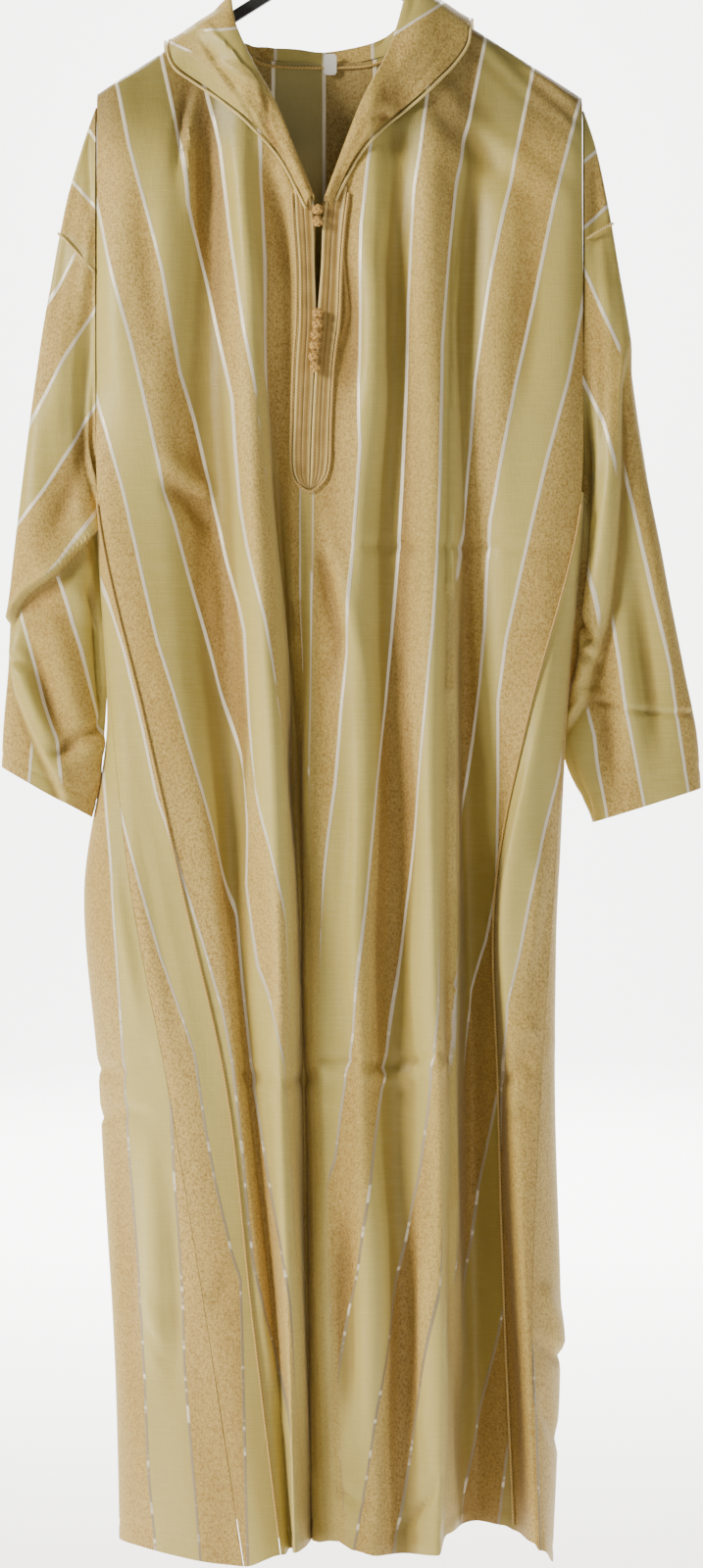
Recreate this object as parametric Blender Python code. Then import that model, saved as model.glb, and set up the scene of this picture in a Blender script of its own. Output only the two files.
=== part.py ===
# Striped djellaba robe with a hood, hung on a slim black hanger.
#
# Lengths below are millimetres and each mesh is written in metres. The part hangs from
# the hook, so the origin is the bearing point at the top of the hook's inner curve.
# +X is the viewer's right, the front of the robe faces -Y, and +Z is up.

import bpy
import bmesh
from math import cos, exp, pi, sin, sqrt
from mathutils import Vector
from mathutils.bvhtree import BVHTree

MM = 0.001

# Cloth and seams
CLOTH = 1.3
SEAM_GAP = 0.3
PIPING_RADIUS = 1.1
CORD_RADIUS = 1.3
BAND_THICKNESS = 1.6
BAND_GAP = 0.5
KNOT_RADIUS = 4.9
KNOT_SINK = 1.9

# Hanger: its two arms fall to both sides from the middle
ARM_HALF_LENGTH = 221.0
ARM_THICKNESS = 5.0
ARM_HEIGHT = 13.0
ARM_DROP = 2.5
APEX_Z = -66.0
SHOULDER_SLOPE = 0.644
APEX_ROUNDING = 16.0
HOOK_WIRE = 1.75
HOOK_RADIUS = 20.0

# Robe
ARMPIT_Z = -576.0
SLIT_TOP_Z = -1345.0
SHOULDER_ROUNDING = 9.0
NECK_CENTRE_X = -16.5
NECK_V_BOTTOM_Z = -308.0
NECK_V_SLOPE = 2.2
BACK_NECK_Z = -167.0
BACK_NECK_HALF_WIDTH = 84.0
OPEN_SLIT_BOTTOM_Z = -405.0

# Heights of the sections that the table of lines below is given at. The first one is the
# shoulder line itself, which slopes with the hanger.
SECTIONS = (0.0, -300.0, -460.0, -600.0, -790.0, -950.0, -1130.0, -1340.0, -1570.0)

# One row for each seam, ridge and valley round the body, starting at the front's left
# seam and going round by the right side and the back. The columns are the line's name,
# its x at each section, its y at each section, and the height of the hem there.
LINES = (
    ("front_seam_left", (-224.4, -224.2, -224.2, -220, -177, -141, -101, -77, -49),
     (-9, -11, -14, -28, -42, -52, -60, -66, -70), -1556),
    ("chest_ridge", (-178, -164, -168, -164, -141, -111, -90, -67, -46),
     (-9, -28, -33, -36, -44, -54, -60, -64, -68), -1556),
    ("chest_valley", (-132, -118, -121, -109, -106, -95, -80, -58, -41),
     (-9, -13, -14, -18, -24, -38, -48, -54, -60), -1552),
    ("big_ridge", (-86, -86, -78, -74, -59, -54, -50, -43, -37),
     (-11, -34, -44, -60, -74, -84, -88, -88, -88), -1550),
    ("big_ridge_edge", (-75, -75, -68, -61, -47, -42, -39, -34, -29),
     (-11, -29, -36, -50, -62, -72, -76, -76, -74), -1548),
    ("centre_valley", (-60, -58, -56, -53, -40, -34, -30, -27, -22),
     (-12, -21, -17, -12, -8, -8, -8, -8, -14), -1546),
    ("placket_left", (-45, -45, -45, -45, -34, -27, -22, -19, -16),
     (-13, -25, -29, -30, -36, -46, -52, -56, -62), -1546),
    ("slit_left", (-20, -20, -20, -19, -18, -16, -11, -6, -4),
     (-14, -26, -30, -33, -46, -56, -62, -66, -70), -1543),
    ("slit_right", (-13, -13, -13, -12, -11, -9, -4, 1, 3),
     (-14, -26, -30, -34, -48, -58, -64, -68, -72), -1543),
    ("placket_right", (6, 2, -1, -3, -1, 2, 8, 12, 15),
     (-13, -25, -31, -37, -52, -62, -68, -72, -76), -1550),
    ("right_ridge", (29, 34, 29, 21, 18, 19, 25, 32, 38),
     (-12, -35, -43, -48, -60, -70, -76, -78, -80), -1555),
    ("soft_valley", (52, 57, 51, 49, 49, 51, 54, 60, 63),
     (-10, -22, -25, -29, -38, -46, -52, -58, -64), -1556),
    ("second_ridge", (89, 89, 93, 95, 87, 89, 95, 97, 94),
     (-9, -32, -39, -50, -64, -76, -81, -82, -82), -1554),
    ("deep_valley_edge", (109, 109, 109, 109, 104, 102, 105, 105, 101),
     (-9, -24, -28, -36, -48, -56, -58, -58, -58), -1540),
    ("deep_valley", (126, 126, 117, 119, 120, 122, 126, 128, 131),
     (-9, -13, -16, -18, -10, 0, 4, 4, 2), -1540),
    ("side_ridge", (172, 172, 158, 158, 152, 144, 144, 149, 158),
     (-9, -23, -28, -36, -34, -14, -8, -8, -8), -1542),
    ("front_seam_right", (230, 230.2, 230.2, 225, 177, 149, 152, 158, 168),
     (-9, -11, -14, -28, -46, -26, -16, -14, -14), -1546),
    ("right_gore_fold", (230, 230, 230, 228, 188, 154, 163, 175, 183),
     (-8, -9, -11, -22, -50, -56, -54, -52, -50), -1550),
    ("side_seam_right", (230, 230, 230, 231, 212, 201, 189, 181, 188),
     (-4, -4, -5, -8, -24, -40, -48, -50, -52), -1556),
    ("side_edge_right", (230, 230, 230, 232, 214, 205, 204, 208, 204),
     (0, 0, 0, 1, -4, -14, -12, -8, -6), -1576),
    ("back_seam_right", (230, 230.2, 230.2, 227, 204, 188, 178, 172, 170),
     (9, 11, 14, 28, 38, 46, 56, 62, 66), -1556),
    ("back_ridge_right", (181, 181, 178, 170, 162, 152, 144, 138, 134),
     (9, 29, 35, 47, 58, 68, 76, 80, 84), -1555),
    ("back_valley_right", (135, 135, 128, 122, 118, 112, 108, 104, 100),
     (9, 16, 20, 22, 25, 28, 32, 36, 40), -1550),
    ("back_second_ridge", (89, 89, 85, 82, 78, 75, 71, 67, 62),
     (11, 30, 36, 50, 64, 76, 84, 88, 92), -1556),
    ("back_soft_valley", (39, 39, 36, 33, 30, 27, 23, 18, 14),
     (14, 23, 27, 32, 37, 40, 42, 44, 46), -1552),
    ("back_middle", (-12, -12, -12, -12, -12, -12, -12, -12, -13),
     (15, 31, 38, 52, 66, 78, 86, 90, 94), -1557),
    ("back_left_valley", (-65, -65, -62, -58, -55, -52, -48, -46, -43),
     (14, 21, 25, 28, 31, 34, 37, 40, 44), -1552),
    ("back_left_ridge", (-118, -118, -115, -110, -104, -100, -95, -89, -84),
     (10, 30, 36, 50, 62, 74, 82, 88, 92), -1556),
    ("back_outer_valley", (-159, -159, -157, -152, -148, -142, -136, -130, -122),
     (9, 16, 20, 24, 27, 30, 34, 38, 42), -1551),
    ("back_outer_ridge", (-196, -196, -196, -190, -184, -184, -176, -168, -158),
     (9, 22, 28, 40, 50, 58, 68, 74, 78), -1555),
    ("back_seam_left", (-224.4, -224.2, -224.2, -221, -208, -220, -204, -192, -182),
     (9, 11, 14, 24, 32, 38, 48, 56, 60), -1556),
    ("side_edge_left", (-224, -224, -224, -225, -215, -238, -223, -211, -202),
     (0, 0, 0, 1, 2, 0, 2, 4, 6), -1558),
    ("side_seam_left", (-224, -224, -224, -224, -209, -190, -155, -120, -85),
     (-4, -4, -6, -10, -22, -44, -56, -62, -64), -1568),
)
LINE_AT = {row[0]: order for order, row in enumerate(LINES)}

# Heights of the rows of points in the body's walls below the shoulder zone
ROWS = (-360, -405, -465, -520, -576, -640, -710, -785, -850, -910, -970, -1040, -1110,
        -1190, -1270, -1345, -1425, -1500)
SHOULDER_DROPS = (0.0, 2.5, 8.0)
SHOULDER_PARTS = (0.15, 0.38, 0.66, 1.0)
SHOULDER_FOOT_Z = -322.0

# Hood stations from the bottom of the V round to the middle of the back, for the left
# half. Each has five points across the hood, from the neck seam over the rolled crest to
# the edge, as x from the neck's middle, z, and distance off the cloth below it.
HOOD_STATIONS = (
    ("front", ((-5.5, -306, 4), (-6.5, -301, 7), (-8, -303, 9), (-9.5, -306, 8), (-11, -310, 6))),
    ("front", ((-24, -257, 3), (-25, -252, 9), (-29, -254, 11), (-33, -257, 9), (-37, -260, 6))),
    ("front", ((-40, -220, 3), (-42, -211, 12), (-49, -216, 15), (-57, -223, 11), (-65, -230, 6))),
    ("front", ((-62, -179, 3), (-66, -168, 12), (-78, -176, 16), (-90, -187, 12), (-102, -199, 6))),
    ("front", ((-77, -146, 4), (-80, -135, 10), (-98, -144, 13), (-117, -157, 10), (-137, -171, 6))),
    ("crest", ((-82, 0, 5), (-83, 0, 8), (-102, 0, 7), (-122, 0, 7), (-140, 0, 6))),
    ("back", ((-80, -150, 6), (-81, -138, 9), (-107, -163, 9), (-128, -188, 11), (-144, -171, 20))),
    ("back", ((-74, -160, 5), (-76, -145, 9), (-112, -195, 11), (-132, -262, 15), (-140, -190, 31))),
    ("back", ((-42, -165, 3), (-44, -152, 8), (-64, -260, 10), (-68, -410, 18), (-78, -230, 38))),
    ("back", ((0, -167, 3), (0, -155, 8), (0, -300, 10), (0, -540, 22), (0, -254, 46))),
)
HOOD_LIFT_FADE = 70.0

# Placket bands: height, the left band's outer and inner edge, and the right band's inner
# and outer edge.
PLACKET_ROWS = (
    (-286, -40.0, -25.0, -9.0, 11.0),
    (-327, -38.0, -21.0, -13.0, 6.0),
    (-367, -35.5, -20.0, -14.5, 3.0),
    (-417, -35.5, -18.8, -18.2, 1.0),
    (-456, -38.0, -20.3, -19.7, -4.0),
    (-516, -40.0, -23.3, -22.7, -7.0),
    (-553, -40.5, -24.5, -23.9, -8.5),
    (-567, -36.0, -25.0, -24.4, -14.0),
    (-573, -27.5, -25.2, -24.6, -22.5),
)

# Knot buttons down the placket: x and z of each
KNOTS = ((-17.5, -314), (-17.5, -325), (-17.6, -411), (-17.6, -421), (-19.0, -431),
         (-20.0, -441), (-21.0, -451), (-19.6, -461))

# Sleeve rings from the armhole to the cuff: the ring's outer x and z, its inner x and z,
# its front depth and its back depth.
LEFT_SLEEVE = (
    (-225.9, -213, -225.3, -574, 13, 13),
    (-238, -248, -227, -588, 13, 13),
    (-258, -324, -227, -606, 15, 15),
    (-273, -414, -227, -628, 17, 17),
    (-287, -508, -227, -656, 20, 18),
    (-300, -613, -226, -682, 24, 18),
    (-305, -668, -225, -706, 15, 20),
    (-308, -738, -225, -764, 14, 19),
    (-313, -800, -230, -838, 17, 17),
    (-314, -832, -232, -879, 18, 17),
)
RIGHT_SLEEVE = (
    (231.8, -216, 232.4, -574, 13, 13),
    (242, -246, 235, -590, 13, 13),
    (256, -312, 236, -613, 15, 15),
    (270, -408, 236, -641, 17, 17),
    (282, -500, 235, -664, 19, 18),
    (295, -582, 232, -701, 20, 18),
    (308, -660, 229, -733, 19, 19),
    (325, -738, 226, -770, 17, 19),
    (338, -800, 222, -818, 18, 18),
    (342, -852, 240, -884, 20, 18),
)
# Where the armhole piping crosses the top of each sleeve: outer x and z, inner x and z
LEFT_ARMHOLE = (-261, -330, -222, -374)
RIGHT_ARMHOLE = (257, -323, 231, -340)

OLIVE = (0.62, 0.56, 0.31)
TAN = (0.78, 0.60, 0.36)
GOLD = (0.80, 0.58, 0.26)
PALE = (0.86, 0.76, 0.42)


def smooth_along(places, values, at):
    """Value at one place on a smooth curve through a row of values."""
    last = len(places) - 1
    falling = places[last] < places[0]
    span = 0
    while span < last - 1 and ((at < places[span + 1]) if falling else (at > places[span + 1])):
        span += 1
    width = places[span + 1] - places[span]
    part = min(1.0, max(0.0, (at - places[span]) / width))
    slopes = []
    for k in (span, span + 1):
        before = max(0, k - 1)
        after = min(last, k + 1)
        slopes.append((values[after] - values[before]) / (places[after] - places[before]))
    step = values[span + 1] - values[span]
    a = slopes[0] * width - step
    b = step - slopes[1] * width
    return values[span] + part * step + part * (1.0 - part) * (a * (1.0 - part) + b * part)


def spline(p0, p1, p2, p3, part):
    """Point on the smooth curve between the second and third of four points."""
    step = p2 - p1
    half = step.length / 2.0
    leaving = ((p1 - p0).normalized() + step.normalized()) * half
    arriving = (step.normalized() + (p3 - p2).normalized()) * half
    ease = part * (1.0 - part)
    return p1 + step * part + (leaving - step) * ease * (1.0 - part) + (step - arriving) * ease * part


def through(points, at):
    """Point on a smooth curve through points, where whole numbers are the points."""
    last = len(points) - 1
    span = int(min(last - 1, max(0, at)))
    return spline(points[max(0, span - 1)], points[span], points[span + 1],
                  points[min(last, span + 2)], at - span)


def crest_z(x):
    """Height of the shoulder line over the hanger."""
    run = sqrt(x * x + APEX_ROUNDING ** 2) - APEX_ROUNDING
    return APEX_Z - SHOULDER_SLOPE * run


def front_top(x):
    """Top of the front: the shoulder line, or the V of the neck where that is lower."""
    v_edge = NECK_V_BOTTOM_Z + NECK_V_SLOPE * max(0.0, abs(x - NECK_CENTRE_X) - 4.0)
    return min(crest_z(x), v_edge)


def back_top(x):
    """Top of the back: the shoulder line, cut by the shallow back neck."""
    across = abs(x - NECK_CENTRE_X) / BACK_NECK_HALF_WIDTH
    return min(crest_z(x), BACK_NECK_Z + 42.0 * across ** 6)


def line_point(order, z):
    """Point of one seam, ridge or valley at a height."""
    row = LINES[order % len(LINES)]
    top = crest_z(row[1][0])
    places = (top,) + SECTIONS[1:]
    height = min(top, max(SECTIONS[-1], z))
    return Vector((smooth_along(places, row[1], height), smooth_along(places, row[2], height), z))


def body_point(s, z):
    """Outer point of the body's cloth, s counting the lines round it."""
    span = int(s // 1)
    point = spline(line_point(span - 1, z), line_point(span, z), line_point(span + 1, z),
                   line_point(span + 2, z), s - span)
    drop = crest_z(point.x) - z
    point.y *= sqrt(min(1.0, max(0.0, drop) / SHOULDER_ROUNDING))
    point.z = z
    return point


def body_normal(s, z):
    """Direction out of the cloth there."""
    here = body_point(s, z)
    crest = crest_z(here.x)
    if crest - z < 0.6:
        slope = SHOULDER_SLOPE if here.x > 0 else -SHOULDER_SLOPE
        return Vector((slope, 0.0, 1.0)).normalized()
    down = body_point(s, z - 2.0) - body_point(s, min(z + 2.0, crest))
    along = body_point(s + 0.03, z) - body_point(s - 0.03, z)
    return down.cross(along).normalized()


def hem_z(s):
    span = int(s // 1)
    part = s - span
    ease = part * part * (3.0 - 2.0 * part)
    first = LINES[span % len(LINES)][3]
    second = LINES[(span + 1) % len(LINES)][3]
    return first + (second - first) * ease


def skin_of(piece):
    """Search tree of a built piece, in millimetres."""
    mesh = piece.data
    return BVHTree.FromPolygons([v.co / MM for v in mesh.vertices],
                                [tuple(p.vertices) for p in mesh.polygons])


def meet(skin, x, z, start_y, side):
    """y where a line along Y first meets a skin, a little lower where it passes over it."""
    for lower in range(24):
        hit = skin.ray_cast(Vector((x, start_y, z - 0.5 * lower)), Vector((0.0, -side, 0.0)))[0]
        if hit:
            return hit.y
    return 0.0


def front_y(skin, x, z):
    """Outer y of the front, and across the open slit the y of the cloth beside it."""
    if z > OPEN_SLIT_BOTTOM_Z and -20.5 < x < -12.5:
        return (meet(skin, -21.0, z, -400.0, -1.0) + meet(skin, -12.0, z, -400.0, -1.0)) / 2.0
    return meet(skin, x, min(z, front_top(x) - 0.5), -400.0, -1.0)


def back_y(skin, x, z):
    return meet(skin, x, min(z, back_top(x) - 0.5), 400.0, 1.0)


def material(name, colour, roughness, metallic=0.0):
    made = bpy.data.materials.new(name)
    made.use_nodes = True
    shader = made.node_tree.nodes["Principled BSDF"]
    shader.inputs["Base Color"].default_value = (*colour, 1.0)
    shader.inputs["Roughness"].default_value = roughness
    shader.inputs["Metallic"].default_value = metallic
    return made


def add_object(name, points, faces, made_of):
    mesh = bpy.data.meshes.new(name)
    mesh.from_pydata([p * MM for p in points], [], faces)
    shell = bmesh.new()
    shell.from_mesh(mesh)
    bmesh.ops.recalc_face_normals(shell, faces=shell.faces)
    if shell.calc_volume(signed=True) < 0.0:
        bmesh.ops.reverse_faces(shell, faces=shell.faces)
    shell.to_mesh(mesh)
    shell.free()
    mesh.materials.append(made_of)
    mesh.shade_smooth()
    mesh.set_sharp_from_angle(angle=0.9)
    piece = bpy.data.objects.new(name, mesh)
    bpy.context.collection.objects.link(piece)
    return piece


def wall(name, outer, inner, made_of, closed=False, skip=None):
    """Closed wall between two grids of points with the same rows and columns."""
    rows = len(outer)
    columns = len(outer[0])
    points = [p for row in outer for p in row] + [p for row in inner for p in row]
    count = rows * columns
    skins = []
    for j in range(rows - 1):
        for i in range(columns if closed else columns - 1):
            if skip and skip(j, i):
                continue
            k = (i + 1) % columns
            skins.append((j * columns + i, (j + 1) * columns + i,
                          (j + 1) * columns + k, j * columns + k))
    edges = set()
    for skin in skins:
        for a in range(4):
            edges.add((skin[a], skin[(a + 1) % 4]))
    faces = list(skins)
    faces += [tuple(count + v for v in reversed(skin)) for skin in skins]
    faces += [(b, a, a + count, b + count) for a, b in sorted(edges) if (b, a) not in edges]
    used = sorted({v for face in faces for v in face})
    renumber = {v: k for k, v in enumerate(used)}
    return add_object(name, [points[v] for v in used],
                      [tuple(renumber[v] for v in face) for face in faces], made_of)


def tube(name, path, radius, made_of, sides=6):
    """Round cord along a path of points."""
    last = len(path) - 1
    points = []
    for k, point in enumerate(path):
        along = (path[min(last, k + 1)] - path[max(0, k - 1)]).normalized()
        across = along.cross(Vector((0.0, 1.0, 0.02))).normalized()
        up = along.cross(across)
        for a in range(sides):
            turn = 2.0 * pi * a / sides
            points.append(point + radius * (across * cos(turn) + up * sin(turn)))
    faces = []
    for k in range(last):
        for a in range(sides):
            b = (a + 1) % sides
            faces.append((k * sides + a, k * sides + b, (k + 1) * sides + b, (k + 1) * sides + a))
    faces.append(tuple(range(sides)))
    faces.append(tuple(reversed(range(last * sides, (last + 1) * sides))))
    return add_object(name, points, faces, made_of)


def column_heights(s, top):
    """Heights of one column's points, from the top edge of a panel to its hem."""
    heights = [top - drop for drop in SHOULDER_DROPS]
    start = heights[-1]
    heights += [start + (SHOULDER_FOOT_Z - start) * part for part in SHOULDER_PARTS]
    heights += [float(z) for z in ROWS]
    heights.append(hem_z(s))
    return heights


def panel(name, first, last, cuts, made_of, top=None, start_z=None, skip=None):
    """One panel of the body between two lines, with a few columns in each span."""
    columns = [first + span + cut / cuts[span] for span in range(last - first)
               for cut in range(cuts[span])]
    columns.append(float(last))
    outer_columns = []
    inner_columns = []
    for s in columns:
        if top:
            edge = -200.0
            for _ in range(6):
                edge = top(body_point(s, edge).x)
            heights = column_heights(s, edge)
        else:
            heights = [start_z] + [float(z) for z in ROWS if z < start_z - 4] + [hem_z(s)]
        outer = []
        inner = []
        for z in heights:
            out = body_normal(s, z)
            point = body_point(s, z)
            on_crest = top and z == heights[0] and crest_z(point.x) - z < 0.6
            if s in (first, last):
                seam = SEAM_GAP * 0.75
                if start_z and z < SLIT_TOP_Z:
                    seam += 1.6 * (SLIT_TOP_Z - z) / 220.0
                inward = (body_point(s + (0.05 if s == first else -0.05), z) - point).normalized()
                inward -= out * inward.dot(out)
                point += inward.normalized() * seam
            if on_crest:
                point.y = -SEAM_GAP / 2.0 if first < LINE_AT["back_seam_right"] else SEAM_GAP / 2.0
            outer.append(point)
            inner.append(point - out * CLOTH)
        outer_columns.append(outer)
        inner_columns.append(inner)
    rows = range(len(outer_columns[0]))
    return wall(name, [[column[j] for column in outer_columns] for j in rows],
                [[column[j] for column in inner_columns] for j in rows], made_of, skip=skip)


def sleeve_surface(rings, k, turn):
    """Point of a sleeve's outer skin, k counting the rings and turn going round them."""
    outer = through([Vector((row[0], 0.0, row[1])) for row in rings], k)
    inner = through([Vector((row[2], 0.0, row[3])) for row in rings], k)
    depth = through([Vector((row[4], row[5], 0.0)) for row in rings], k)
    swing = sin(turn)
    point = (outer + inner) / 2.0 + (outer - inner) / 2.0 * cos(turn)
    point.y = (-depth.x if swing > 0 else depth.y) * abs(swing) ** 0.75
    return point


def sleeve_normal(rings, k, turn):
    last = len(rings) - 1
    along = (sleeve_surface(rings, min(k + 0.02, last - 0.0001), turn)
             - sleeve_surface(rings, max(k - 0.02, 0.0), turn))
    around = sleeve_surface(rings, k, turn + 0.05) - sleeve_surface(rings, k, turn - 0.05)
    out = along.cross(around).normalized()
    middle = (sleeve_surface(rings, k, 0.0) + sleeve_surface(rings, k, pi)) / 2.0
    return out if out.dot(sleeve_surface(rings, k, turn) - middle) > 0 else -out


def sleeve(name, rings, made_of, around=18, per_ring=2):
    outer = []
    inner = []
    for step in range((len(rings) - 1) * per_ring + 1):
        k = step / per_ring
        turns = [2.0 * pi * a / around for a in range(around)]
        outer.append([sleeve_surface(rings, k, turn) for turn in turns])
        inner.append([sleeve_surface(rings, k, turn) - sleeve_normal(rings, k, turn) * CLOTH
                      for turn in turns])
    return wall(name, outer, inner, made_of, closed=True)


def hood_stations():
    """Table rows of the left half, then of the right half in the opposite order."""
    stations = []
    for right in (False, True):
        half = []
        for kind, across in HOOD_STATIONS:
            points = []
            for x, z, off in across:
                place_x = NECK_CENTRE_X + (-x if right else x)
                left_crest = crest_z(NECK_CENTRE_X + x)
                fade = max(0.0, 1.0 - max(0.0, left_crest - z) / HOOD_LIFT_FADE)
                lift = (crest_z(place_x) - left_crest) * fade
                height = crest_z(place_x) if kind == "crest" else z + lift
                points.append(Vector((place_x, height, off)))
            half.append(points)
        stations += half[:-1][::-1] if right else half
    return stations


def hood_surface(stations, skins, a, b):
    """Point of the hood: a place over the front or back, moved out by the row's distance."""
    x, z, off = through([through([station[k] for station in stations], a) for k in range(5)], b)
    last = len(stations) - 1
    crest_at = [row[0] for row in HOOD_STATIONS].index("crest")
    side = -1.0 if a < crest_at or a > last - crest_at else 1.0
    top = front_top(x) if side < 0 else back_top(x)
    y = front_y(skins[0], x, z) if side < 0 else back_y(skins[1], x, z)
    crest = crest_z(x)
    if crest - z < 0.6:
        y = 0.0
    upward = max(0.0, 1.0 - max(0.0, crest - z) / 22.0)
    return Vector((x, y + side * sqrt(1.0 - upward * upward) * off,
                   min(z, top) + max(0.0, z - top) + upward * off))


def hood_grid(stations, skins, along, over):
    last = len(stations) - 1
    return [[hood_surface(stations, skins, last * i / along, 4.0 * j / over)
             for i in range(along + 1)] for j in range(over + 1)]


def hood(name, grid, made_of):
    rows = len(grid) - 1
    columns = len(grid[0]) - 1
    outer = []
    inner = []
    for j in range(rows + 1):
        outer_row = []
        inner_row = []
        for i in range(columns + 1):
            beside = grid[j][min(i + 1, columns)] - grid[j][max(i - 1, 0)]
            onward = grid[min(j + 1, rows)][i] - grid[max(j - 1, 0)][i]
            out = beside.cross(onward).normalized()
            outer_row.append(grid[j][i] + out * CLOTH / 2.0)
            inner_row.append(grid[j][i] - out * CLOTH / 2.0)
        outer.append(outer_row)
        inner.append(inner_row)
    return wall(name, outer, inner, made_of)


def hood_trim(name, grid, made_of):
    """Cord on the hood's free edge."""
    path = []
    for edge, before in zip(grid[-1], grid[-2]):
        outward = (edge - before).normalized()
        path.append(edge + outward * (CORD_RADIUS + SEAM_GAP + 1.7))
    return tube(name, path, CORD_RADIUS, made_of)


def placket_edges(z):
    places = [row[0] for row in PLACKET_ROWS]
    return [smooth_along(places, [row[k] for row in PLACKET_ROWS], z) for k in (1, 2, 3, 4)]


def band(name, left, skin, made_of):
    """Raised band on the front beside the slit, from the V down to its round end."""
    heights = [-291 - 17.0 * k for k in range(15)] + [-541, -555, -564, -569, -573]
    outer = []
    inner = []
    for z in heights:
        edges = placket_edges(z)
        first, second = edges[0:2] if left else edges[2:4]
        outer_row = []
        inner_row = []
        for part in (0.0, 0.08, 0.5, 0.92, 1.0):
            x = first + (second - first) * part
            toward_slit = part if left else 1.0 - part
            height = z - 15.0 * toward_slit * exp((z + 286.0) / 12.0)
            raised = BAND_THICKNESS * (0.55 if part in (0.0, 1.0) else 1.0)
            y = front_y(skin, x, height)
            outer_row.append(Vector((x, y - BAND_GAP - raised, height)))
            inner_row.append(Vector((x, y - BAND_GAP, height)))
        outer.append(outer_row)
        inner.append(inner_row)
    return wall(name, outer, inner, made_of)


def placket_cord(name, skin, made_of):
    """Cord round the outer edge of both placket bands."""
    heights = [-298 - 18.0 * k for k in range(14)] + [-546, -557, -565, -570]
    outline = [Vector((placket_edges(z)[0], 0.0, z)) for z in heights]
    outline += [Vector((-25.0, 0.0, -574.6))]
    outline += [Vector((placket_edges(z)[3], 0.0, z)) for z in reversed(heights)]
    reach = CORD_RADIUS + SEAM_GAP
    path = []
    for k, edge in enumerate(outline):
        along = outline[min(len(outline) - 1, k + 1)] - outline[max(0, k - 1)]
        away = Vector((along.z, 0.0, -along.x)).normalized()
        place = edge + away * (reach + 0.3)
        path.append(Vector((place.x, front_y(skin, place.x, place.z) - reach - 0.3, place.z)))
    return tube(name, path, CORD_RADIUS, made_of)


def seam_path(line, heights):
    """Path of piping that stands on a seam, just off the cloth."""
    s = float(LINE_AT[line])
    path = []
    for z in heights:
        across = body_point(s + 0.2, z) - body_point(s - 0.2, z)
        down = body_point(s, z - 5.0) - body_point(s, z + 5.0)
        out = down.cross(across).normalized()
        path.append(body_point(s, z) + out * (PIPING_RADIUS + SEAM_GAP + 0.2))
    return path


def armhole_path(rings, seam):
    """Piping over the front, outside and back of a sleeve where the seam crosses it."""
    start = Vector((seam[0], 0.0, seam[1]))
    run = Vector((seam[2], 0.0, seam[3])) - start
    side = 1.0 if run.x > 0 else -1.0

    def above(k, turn):
        point = sleeve_surface(rings, k, turn) - start
        return side * (run.x * point.z - run.z * point.x)

    path = []
    for step in range(25):
        turn = -2.0 + 4.0 * step / 24.0
        low, high = 0.0, 5.0
        if above(low, turn) <= 0.0 or above(high, turn) >= 0.0:
            continue
        for _ in range(20):
            middle = (low + high) / 2.0
            if above(middle, turn) > 0.0:
                low = middle
            else:
                high = middle
        path.append(sleeve_surface(rings, low, turn)
                    + sleeve_normal(rings, low, turn) * (PIPING_RADIUS + SEAM_GAP))
    return path


def neck_binding(name, skin, made_of):
    """Narrow binding inside the back neck, just below the hood's seam."""
    path = []
    for k in range(25):
        x = NECK_CENTRE_X - 66.0 + 132.0 * k / 24.0
        z = back_top(x) - 5.0
        path.append(Vector((x, meet(skin, x, z, 0.0, -1.0) - SEAM_GAP - CORD_RADIUS - 0.2, z)))
    return tube(name, path, CORD_RADIUS, made_of)


def label(name, skin, made_of):
    """Blank woven label that hangs inside the back neck, over the binding."""
    y = meet(skin, -6.0, BACK_NECK_Z - 5.0, 0.0, -1.0) - 2.0 * CORD_RADIUS - 2.0 * SEAM_GAP - 0.3
    outer = []
    inner = []
    for rise in (13.0, 8.0, 3.0, -2.0, -7.0):
        narrow = 1.5 if rise in (13.0, -7.0) else 0.0
        columns = (-12.0 + narrow, -6.0, -narrow)
        outer.append([Vector((x, y - 0.8, BACK_NECK_Z - 5.0 + rise)) for x in columns])
        inner.append([Vector((x, y, BACK_NECK_Z - 5.0 + rise)) for x in columns])
    return wall(name, outer, inner, made_of)


def hanger_arms(name, made_of):
    """Flat bar with a rounded top that follows the shoulder line inside the cloth."""
    section = ((-0.5, -1.0), (-0.5, -0.2), (-0.35, -0.05), (0.0, 0.0),
               (0.35, -0.05), (0.5, -0.2), (0.5, -1.0))
    count = 36
    points = []
    for k in range(count + 1):
        x = ARM_HALF_LENGTH * (2.0 * k / count - 1.0)
        top = crest_z(x) - ARM_DROP
        tip = max(0.3, min(1.0, (1.02 - abs(x) / ARM_HALF_LENGTH) * 9.0))
        for across, down in section:
            points.append(Vector((x, across * ARM_THICKNESS, top + down * ARM_HEIGHT * tip)))
    size = len(section)
    faces = []
    for k in range(count):
        for a in range(size):
            b = (a + 1) % size
            faces.append((k * size + a, k * size + b, (k + 1) * size + b, (k + 1) * size + a))
    faces.append(tuple(range(size)))
    faces.append(tuple(reversed(range(count * size, (count + 1) * size))))
    return add_object(name, points, faces, made_of)


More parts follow.
